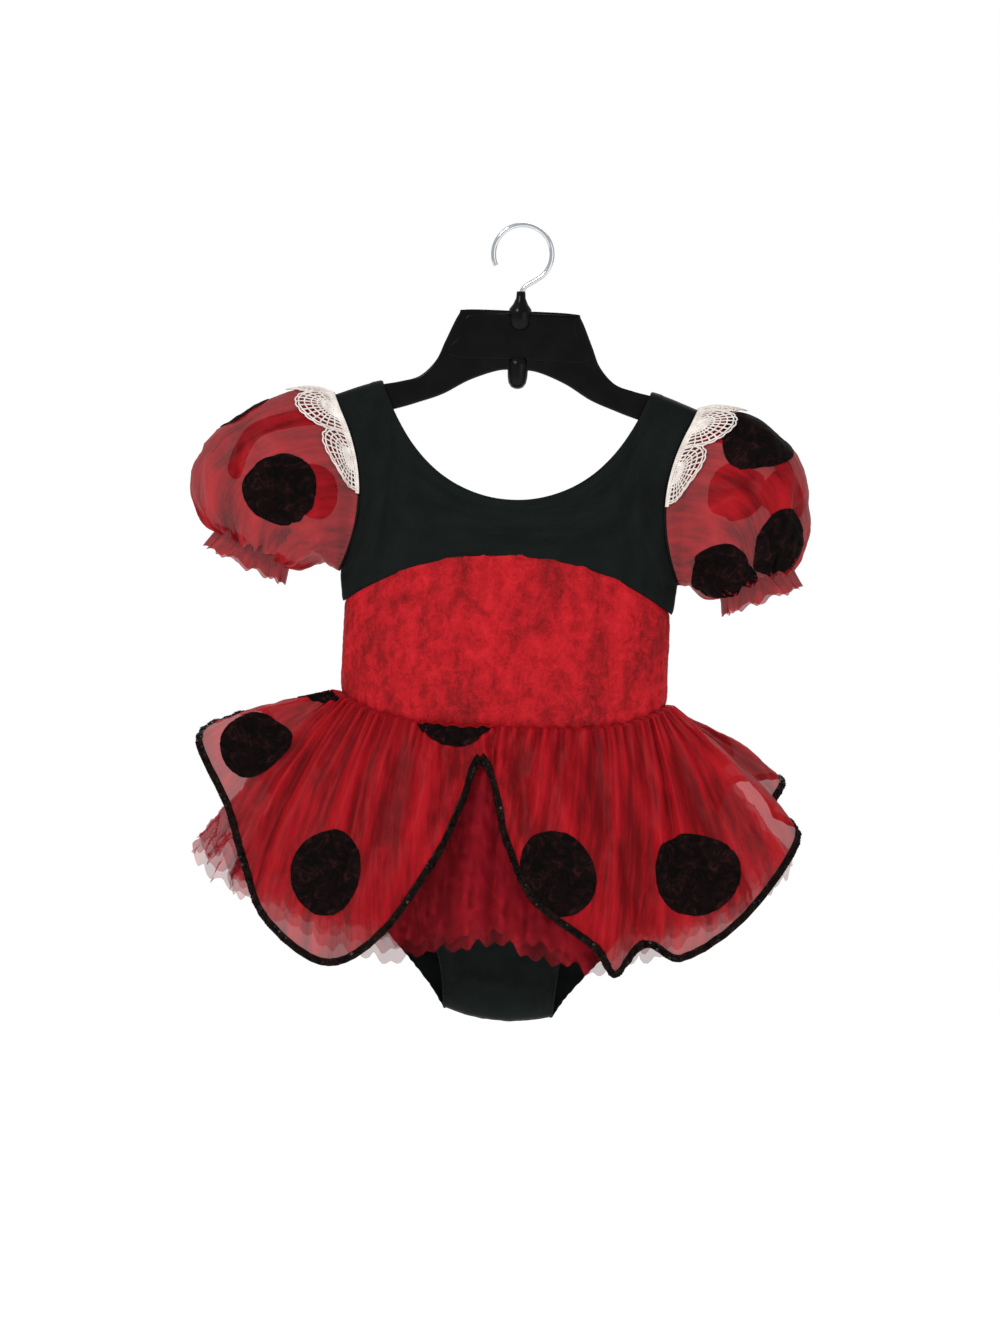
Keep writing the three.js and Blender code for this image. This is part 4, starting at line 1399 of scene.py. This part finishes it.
def sleeve(side):
    sign = SIGN[side]
    point = dressed(puff_point(side), puff_rise(side), 0.01, 0.04, sign)
    arounds = spread(0, math.tau, 400)[:-1]
    rings = spread(0, CUFF, 96)
    grid = laid_grid(point, arounds, rings)
    # fold, how far the puff's folds stand out, paints shade in their hollows and a highlight on their
    # crests.
    fold = puff_rise(side)(*np.meshgrid(arounds, rings), laid_grid(puff_point(side), arounds, rings)) / 3.5
    puff = cloth(f"sleeve_{side}_organza", grid, PUFF_ORGANZA, closed=True, outward=sign, fold=fold)
    done(puff, "red_organza", f"puff_{side}")
    edge = dressed(frill_point(side, point), frill_rise, 0.01, 0.05, sign)
    frill_grid = laid_grid(edge, spread(0, math.tau, 480)[:-1], spread(0, 1, 10))
    frill = cloth(f"sleeve_{side}_frill", frill_grid, PUFF_ORGANZA, closed=True, outward=sign)
    done(frill, "red_organza", f"frill_{side}")
    dots = []
    halves = {FRONT: spread(0.02, math.pi - 0.02, 160), BACK: spread(math.pi + 0.02, math.tau - 0.02, 160)}
    for i, (x, z, facing, size) in enumerate(SLEEVE_DOTS[side]):
        centre = place_seen(point, halves[facing], spread(0.6, CUFF - 0.3, 90), x, z)
        name = f"sleeve_{side}_round_{i + 1}"
        dots.append(round_patch(name, point, centre, size, FLOCK, 0.01, 0.05, sign))
        done(dots[-1], "red_organza")
    rows, spokes, picots, core = lace_paths(side, puff_point(side))
    lace = tubes(f"lace_{side}_rows", rows + spokes, LACE_THREAD, COTTON, sides=1)
    done(lace, "white_cotton_lace", f"lace_{side}")
    done(tubes(f"lace_{side}_heading", core + picots, LACE_THREAD, COTTON, sides=1), "white_cotton_lace")
    armhole = puff_point(side)(arounds, np.zeros_like(arounds))
    binding = tubes(f"armhole_{side}_binding", [np.concatenate([armhole, armhole[:1]])], BINDING, JERSEY)
    done(binding, "black_stretch_jersey")
    cuff = point(arounds, np.full_like(arounds, CUFF - 0.12))
    out = normals_at(point, arounds, np.full_like(arounds, CUFF - 0.12), 0.01, 0.04, sign)
    gather = seam_stitches(f"sleeve_{side}_elastic_stitches", [(cuff, out)], 2.6, RED_THREAD)
    done(gather, "red_organza")
    return (puff, grid), (frill, frill_grid), dots


sleeves = {side: sleeve(side) for side in SIGN}


# Skirts
SKIRT_CREASES = [
    (-40, -380, -84, -520, 8, 2.6),
    (-66, -378, -116, -540, 10, -2.6),
    (-96, -372, -150, -520, 9, 2.4),
    (-110, -362, -184, -480, 8, -2.2),
    (-30, -420, -52, -486, 6, 2.0),
    (-140, -370, -214, -430, 8, 2.0),
    (8, -376, 40, -500, 8, -2.2),
    (28, -378, 86, -540, 9, 3.0),
    (58, -376, 118, -528, 8, -2.6),
    (84, -370, 150, -520, 9, 2.8),
    (104, -364, 190, -486, 8, -2.2),
    (118, -362, 214, -436, 8, 2.2),
    (6, -420, 22, -480, 5, 1.6),
]


def skirt_rise(turn, share, at):
    x, y, z = at[..., 0], at[..., 1], at[..., 2]
    down = np.maximum(share, 0) * OVERSKIRT_CUT
    a = np.radians(turn)
    wander = 2 * np.sin(6 * a) + 1.2 * np.sin(17 * a + 1)
    gathers = 1.6 * np.exp(-((down / 38) ** 1.3)) * np.sin(77 * a + wander)
    long_folds = 2.4 * np.exp(-(((share - 0.45) / 0.42) ** 2)) * np.sin(23 * a + wander * 1.3)
    soft = 1.0 * crumple(x + y * 0.5, z - y * 0.5, 60, SEED + 51) + 0.25 * crumple(x + y, z, 19, SEED + 52)
    open_part = ease(down / 40)
    hem = 0.7 * ease((share - 0.88) / 0.12) * np.sin(137 * a + wander * 2)
    return gathers + long_folds + open_part * (soft + crease_rise(at, SKIRT_CREASES)) + hem


skirt_form = hanging_cloth(OVERSKIRT, 3.6 * LAYER, OVERSKIRT_LIFT)
SKIRT = dressed(skirt_form, skirt_rise, 0.6, 0.01, -1)


def skirt_down(turn, down):
    """The overskirt with its second coordinate in millimetres below the waist."""
    turn = np.asarray(turn, float)
    ends = [skirt_form(turn, np.full_like(turn, share)) for share in (0, 1)]
    return SKIRT(turn, down / np.linalg.norm(ends[1] - ends[0], axis=-1))


def trim_share(turn):
    """Share of the way down at which the trim starts, so that it is equally wide all round."""
    end = skirt_form(turn, np.ones_like(turn))
    down = end - skirt_form(turn, np.full_like(turn, 0.9))
    along = skirt_form(turn + 1, np.ones_like(turn)) - skirt_form(turn - 1, np.ones_like(turn))
    long, wide = np.linalg.norm(down, axis=-1), np.linalg.norm(along, axis=-1)
    sine = np.linalg.norm(np.cross(down, along), axis=-1) / (long * wide)
    return 1 - np.minimum(TRIM_WIDE / np.maximum(sine, 0.35) / (long * 10), 0.3)


skirt_turns = spread(OVERSKIRT_FROM, OVERSKIRT_FROM + 360, 720)[:-1]
skirt_shares = spread(0, 1, 72)
skirt_grid = laid_grid(SKIRT, skirt_turns, skirt_shares)
turned_in = waist_point(skirt_turns, 0.2) + [0, 0, 1.4]  # its top edge, tucked under the velvet
skirt_flat = laid_grid(skirt_form, skirt_turns, skirt_shares)
# How far the overskirt's folds stand out, for painted shade in their hollows and painted highlight on their
# crests.
skirt_fold_shade = skirt_rise(*np.meshgrid(skirt_turns, skirt_shares), skirt_flat) / 4
skirt_grid = np.concatenate([turned_in[None], skirt_grid])
skirt_fold_shade = np.concatenate([skirt_fold_shade[:1], skirt_fold_shade])
overskirt = cloth("overskirt_organza", skirt_grid, SKIRT_ORGANZA, closed=True, outward=-1, fold=skirt_fold_shade)
done(overskirt, "red_organza", "overskirt")

# Rounds on the front of the overskirt: place in the picture's plane, size, and tilt.
SEEN_DOTS = [
    (-124, -484, (52, 66), 0.2),
    (-182, -398, (46, 54), 0.1),
    (44, -478, (56, 66), 0.4),
    (144.6, -474, (64, 64), 0),
]
# Rounds cut by the waist or on the back: turn, millimetres below the waist, size, and tilt.
SKIRT_DOTS = [
    (343, -15, (64, 66), 0),
    (262, 8, (40, 40), 0),
    (118, 46, (66, 60), 0),
    (136, 108, (66, 66), 0),
    (160, 30, (64, 60), 0),
    (186, 120, (66, 66), 0),
    (214, 44, (66, 64), 0),
    (238, 100, (64, 66), 0),
]
FRONT_TURNS = np.concatenate([spread(-7, 92, 200), spread(272, 352, 160)])
skirt_dots = []
downs = spread(1, 190, 190)
places = [(*place_seen(skirt_down, FRONT_TURNS, downs, x, z), s, t) for x, z, s, t in SEEN_DOTS]
places += SKIRT_DOTS
for i, (turn, down, size, tilt) in enumerate(places):
    name = f"overskirt_round_{i + 1}"
    spot = round_patch(name, skirt_down, (turn, down), size, FLOCK, 1.0, 4.0, -1, tilt, lowest=0.6)
    skirt_dots.append(done(spot, "red_organza"))

band_turns = spread(OVERSKIRT_FROM, OVERSKIRT_FROM + 360, 1100)[:-1]
turns, shares = np.meshgrid(band_turns, spread(0, 1, 4))
band_share = mix(trim_share(turns), 1, shares)
band_out = normals_at(SKIRT, turns, band_share, 0.6, 0.01, -1)
band_grid = SKIRT(turns, band_share) + band_out * (0.5 + 0.25 * np.sin(shares * math.pi))[..., None]
band = cloth("hem_braid", band_grid, SEQUIN, closed=True, outward=-1, thick=0.5)
done(band, "black_sequin_braid", "hem_trim")


SEQUIN_ROWS = (0.3, 0.74)  # shares of the braid's width
SEQUIN_SIZE, SEQUIN_OFF, SEQUIN_PITCH = (3.6, 3.4, 0.5), 1.05, 2.5


def braid_rows():
    """Two overlapping rows of sequins along the braid."""
    places, away, along = [], [], []
    for share in SEQUIN_ROWS:
        turn = spread(OVERSKIRT_FROM, OVERSKIRT_FROM + 360, 2400)
        at_share = mix(trim_share(turn), 1, share)
        out = normals_at(SKIRT, turn, at_share, 0.6, 0.01, -1)
        line, facing = spaced(SKIRT(turn, at_share) + out * SEQUIN_OFF, SEQUIN_PITCH, out)
        places.append(line)
        away.append(unit(facing))
        along.append(unit(np.gradient(line, axis=0)))
    return [np.concatenate(part) for part in (places, away, along)]


sequins = strung("hem_sequins", *braid_rows(), SEQUIN_TREE, SEQUIN_SIZE, 0.4, SEQUIN)
done(sequins, "black_sequin_braid")


def net_rise(seed, fold):
    def rise(turn, share, at):
        x, y, z = at[..., 0], at[..., 1], at[..., 2]
        share = np.maximum(share, 0)
        a = np.radians(turn)
        wander = 3 * np.sin(4 * a + seed) + 1.5 * np.sin(10 * a)
        waves = fold * share**0.8 * np.sin(18 * a + wander)
        crisp = 3.0 * crumple(x + y, z + y * 0.3, 34, seed, sharp=0.8)
        crisp = crisp + 1.2 * crumple(x - y, z, 12, seed + 1)
        gathers = 1.0 * np.exp(-((share / 0.12) ** 2)) * np.sin(109 * a + wander)
        return (waves + crisp * ease(share * 3)) * 0.8 + gathers * 0.6

    return rise


def net_layer(name, hem, out, lift, seed, fold, shorter, *nodes):
    base = hanging_cloth(hem, out, lift)

    def shaped(turn, share):
        a = np.radians(turn)
        jag = 5 * np.cos(7 * a) + 4 * np.sin(31 * a + seed) * np.sin(11 * a) + 2.4 * np.sin(83 * a + seed)
        at = base(turn, share * (1 - shorter))
        return at + xyz(0, 0, (jag + 3) * np.maximum(share, 0) ** 4)

    point = dressed(shaped, net_rise(seed, fold), 0.8, 0.02, -1)
    turns, shares = np.meshgrid(spread(0, 360, 480)[:-1], spread(0, 1, 44))
    grid = point(turns, shares)
    # How far the net's folds stand out, for painted shade in their hollows and painted highlight on their
    # crests.
    net_fold_shade = net_rise(seed, fold)(turns, shares, shaped(turns, shares)) / 6
    made = cloth(name, grid, NET, closed=True, outward=-1, fold=net_fold_shade)
    done(made, "red_net", *nodes)
    return made, grid


nets = [
    net_layer("net_outer", NET_TOP, 2 * LAYER, 6, SEED + 61, 5.5, 0.0, "petticoat_top"),
    net_layer("net_second", NET_TOP, 1.6 * LAYER, 3, SEED + 62, 5.0, 0.05),
    net_layer("net_third", NET_UNDER, LAYER, 4, SEED + 63, 4.5, 0.0, "petticoat_under"),
    net_layer("net_inner", NET_UNDER, 0.6 * LAYER, 2, SEED + 64, 4.0, 0.06),
]


# Hanger
WIRE_R = 1.9
HOOK_R = 20 + WIRE_R
NECK_TOP, STEM_END = -48, -60
PLATE_THICK, PLATE_ROUND = 9, 1.8
PANEL_RISE, PANEL_ROUND = 0.8, 0.7
EDGE_RINGS = 11


def smooth_loop(points, count):
    """A smooth closed line through points, evenly drawn."""
    points = np.asarray(points, float)
    n = len(points)
    t = np.linspace(0, n, count, endpoint=False)
    i = t.astype(int)
    f = (t - i)[:, None]
    a, b, c, d = (points[(i + k) % n] for k in (-1, 0, 1, 2))
    return 0.5 * (2 * b + (c - a) * f + (2 * a - 5 * b + 4 * c - d) * f**2 + (3 * b - a - 3 * c + d) * f**3)


def slab(outline, half, bevel):
    """A moulded slab with round edges, as points and faces: rings from one face's edge to the
    other's, with both faces filled."""
    n = len(outline)
    step = np.roll(outline, -1, axis=0) - np.roll(outline, 1, axis=0)
    after = np.roll(outline, -1, axis=0)
    area = 0.5 * np.sum(outline[:, 0] * after[:, 1] - after[:, 0] * outline[:, 1])
    inward = unit(np.stack([-step[:, 1], step[:, 0]], axis=-1)) * np.sign(area)
    points = []
    for a in np.linspace(0, math.pi, EDGE_RINGS):
        side = 0 if abs(math.cos(a)) < 0.01 else np.sign(math.cos(a))
        y = -(half - bevel) * side - bevel * math.cos(a)
        flat = outline + inward * bevel * (1 - math.sin(a))
        points.append(np.stack([flat[:, 0], np.full(n, y), flat[:, 1] + HANGER_MID], axis=-1))
    faces = grid_faces(EDGE_RINGS, n, closed=True, outward=1)
    faces.append(tuple(range(n)))
    last = (EDGE_RINGS - 1) * n
    faces.append(tuple(last + j for j in reversed(range(n))))
    return np.concatenate(points), faces


def lathe(profile, count=40):
    """A turned form about the vertical through the origin, from radii and heights."""
    profile = np.asarray(profile, float)
    turn = np.linspace(0, math.tau, count, endpoint=False)
    points = [xyz(r * np.cos(turn), r * np.sin(turn), z) for r, z in profile]
    faces = grid_faces(len(profile), count, closed=True, outward=1)
    faces.append(tuple(reversed(range(count))))
    last = (len(profile) - 1) * count
    faces.append(tuple(last + j for j in range(count)))
    return np.concatenate(points), faces


def outward_faces(made):
    """Turns every face outwards and fills long faces with short ones."""
    tidy = bmesh.new()
    tidy.from_mesh(made.data)
    bmesh.ops.triangulate(tidy, faces=[f for f in tidy.faces if len(f.verts) > 4])
    bmesh.ops.recalc_face_normals(tidy, faces=tidy.faces)
    tidy.to_mesh(made.data)
    tidy.free()
    return made


def moulded(name, form, material):
    return outward_faces(mesh_object(name, *form, material))


right = np.stack([HANGER["x"], HANGER["z"]], axis=-1)
left = right[1:-1][::-1] * [-1, 1]
arms = slab(smooth_loop(np.concatenate([right, left]), 520), PLATE_THICK / 2, PLATE_ROUND)
body = moulded("hanger_body", arms, PLASTIC)
done(body, "black_polystyrene", "hanger")
panel = [(-37, 17), (0, 17.4), (37, 17), (44, 2), (51, -14.5), (0, -15), (-51, -14.5), (-44, 2)]
raised = slab(smooth_loop(panel, 160), PLATE_THICK / 2 + PANEL_RISE, PANEL_ROUND)
plate = moulded("hanger_plate", raised, PLASTIC)
done(plate, "black_polystyrene")
# Radii and heights of the two turned parts: the hook's socket, and the boss under the plate.
neck = [(2.1, NECK_TOP), (3.3, NECK_TOP), (3.6, -53), (5.6, -57.5)]
neck += [(8.2, -61), (9, -64), (9, -74), (2, -80)]
done(moulded("hanger_neck", lathe(neck), PLASTIC), "black_polystyrene")
boss = [(0.5, -98), (8, -98), (7.8, -104), (7.4, -112)]
boss += [(6.6, -116.5), (4.6, -119.6), (2, -120.8), (0.3, -121)]
done(moulded("hanger_boss", lathe(boss), PLASTIC), "black_polystyrene")

hook_mid = WIRE_R - HOOK_R
bend = np.radians(spread(205, -50, 60))
arc = xyz(HOOK_R * np.cos(bend), 0, hook_mid + HOOK_R * np.sin(bend))
# From the bend's end down into the socket: how far aside, and how far below the bend's middle.
foot = [(9.5, 19.9), (6, 22), (3, 24.2), (1, 26.8), (0.2, 29), (0, 31)]
stem = [(x, 0, hook_mid - below) for x, below in foot] + [(0, 0, STEM_END + 0.5)]
hook = tubes("hook_wire", [np.concatenate([arc, stem])], WIRE_R, CHROME, sides=6)
done(hook, "chrome_wire", "hook")


# How each cloth was cut
GATHERED = 1.1  # how much fuller a gathered cloth was than its mesh, which leaves out small gathers
YOKE_CUT, MIDRIFF_CUT, BRIEF_CUT = (0.285, 0.175), (0.265, 0.125), (0.265, 0.265)  # metres
PUFF_CUT, FRILL_CUT = (0.46, 0.14), (0.46, 0.022)
SKIRT_CUT, NET_CUT = (0.72, 0.62), (1.4, 0.21)


def cut(piece, grid, flat, closed=False, fullness=1.0, with_pieces=()):
    """Works out a cloth's flat area, which is that of the formed cloth, times how much fuller it
    was before small gathers took it up, and no more than its cut's size; nothing uses it."""
    area = min(area_of(grid, closed) * fullness, flat[0] * flat[1])
    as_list(with_pieces)


for facing in (FRONT, BACK):
    part_grids = leotard_grids[facing]
    part = leotard_pieces[facing]
    cut(part["yoke"], part_grids["yoke"], YOKE_CUT)
    cut(part["midriff"], part_grids["midriff"], MIDRIFF_CUT)
    cut(part["brief"], part_grids["brief"], BRIEF_CUT)
for side, parts in sleeves.items():
    (puff, puff_grid), (frill, frill_grid), rounds = parts
    cut(puff, puff_grid, PUFF_CUT, True, GATHERED, rounds)
    cut(frill, frill_grid, FRILL_CUT, True, GATHERED)
sewn_on = [band, sequins, *skirt_dots]
cut(overskirt, skirt_grid, SKIRT_CUT, True, GATHERED, sewn_on)
for net, net_grid in nets:
    cut(net, net_grid, NET_CUT, True, GATHERED)


# Camera, floor and light
ROOM_LIGHT = 0.62  # the room lights the costume less than its white walls look
FLOOR_Z, FLOOR_REACH = -900, 4000


def look_from(raised, far):
    return Vector((0, -far * math.cos(raised), far * math.sin(raised))) * MM


def point_camera():
    data = bpy.data.cameras.new("camera")
    data.sensor_fit = "VERTICAL"
    data.sensor_height = 36
    data.lens = 36 * CAMERA_FAR / PICTURE_HEIGHT
    data.clip_end = 20
    camera = bpy.data.objects.new("camera", data)
    bpy.context.scene.collection.objects.link(camera)
    aim = Vector(AIM) * MM
    camera.location = aim + look_from(CAMERA_RAISED, CAMERA_FAR)
    facing = (aim - camera.location).to_track_quat("-Z", "Y")
    camera.rotation_mode = "QUATERNION"
    camera.rotation_quaternion = facing @ Matrix.Rotation(CAMERA_ROLL, 4, "Z").to_quaternion()
    bpy.context.scene.camera = camera


def soft_light(name, place, size, power, aim=(0, 0, -340)):
    data = bpy.data.lights.new(name, "AREA")
    data.shape = "DISK"
    data.size = size
    data.energy = power
    light = bpy.data.objects.new(name, data)
    light.location = Vector(place) * MM
    light.rotation_mode = "QUATERNION"
    light.rotation_quaternion = (Vector(aim) * MM - light.location).to_track_quat("-Z", "Y")
    bpy.context.scene.collection.objects.link(light)


def pale_floor():
    """A plain pale floor, well below the hem."""
    made, tree = new_material("pale_floor")
    surface(
        tree,
        {
            "Base Color": linear("#f6f6f5"),
            "Roughness": 0.9,
            "Emission Color": linear("#ffffff"),
            "Emission Strength": 0.44,
        },
    )
    corners = [(x, y, FLOOR_Z) for x, y in ((-1, -1), (1, -1), (1, 1), (-1, 1))]
    corners = [(x * FLOOR_REACH, y * FLOOR_REACH, z) for x, y, z in corners]
    floor = mesh_object("floor", corners, [(0, 1, 2, 3)], made, smooth=False)


def white_room():
    world = bpy.data.worlds.new("room")
    world.use_nodes = True
    world.node_tree.nodes.clear()
    seen = add(world.node_tree, "ShaderNodeLightPath").outputs["Is Camera Ray"]
    strength = add(
        world.node_tree, "ShaderNodeMapRange", {"Value": seen, "To Min": ROOM_LIGHT, "To Max": 1.0}
    ).outputs["Result"]
    glow = add(world.node_tree, "ShaderNodeBackground", {"Color": linear("#ffffff"), "Strength": strength})
    add(world.node_tree, "ShaderNodeOutputWorld", {"Surface": glow.outputs["Background"]})
    bpy.context.scene.world = world
    bpy.context.scene.view_settings.view_transform = "Standard"


point_camera()
white_room()
pale_floor()
soft_light("key", (-1100, -1500, 1300), 0.6, 26)
soft_light("fill", (1300, -1500, 0), 1.3, 5)
soft_light("back", (300, 1500, 900), 1.0, 22)
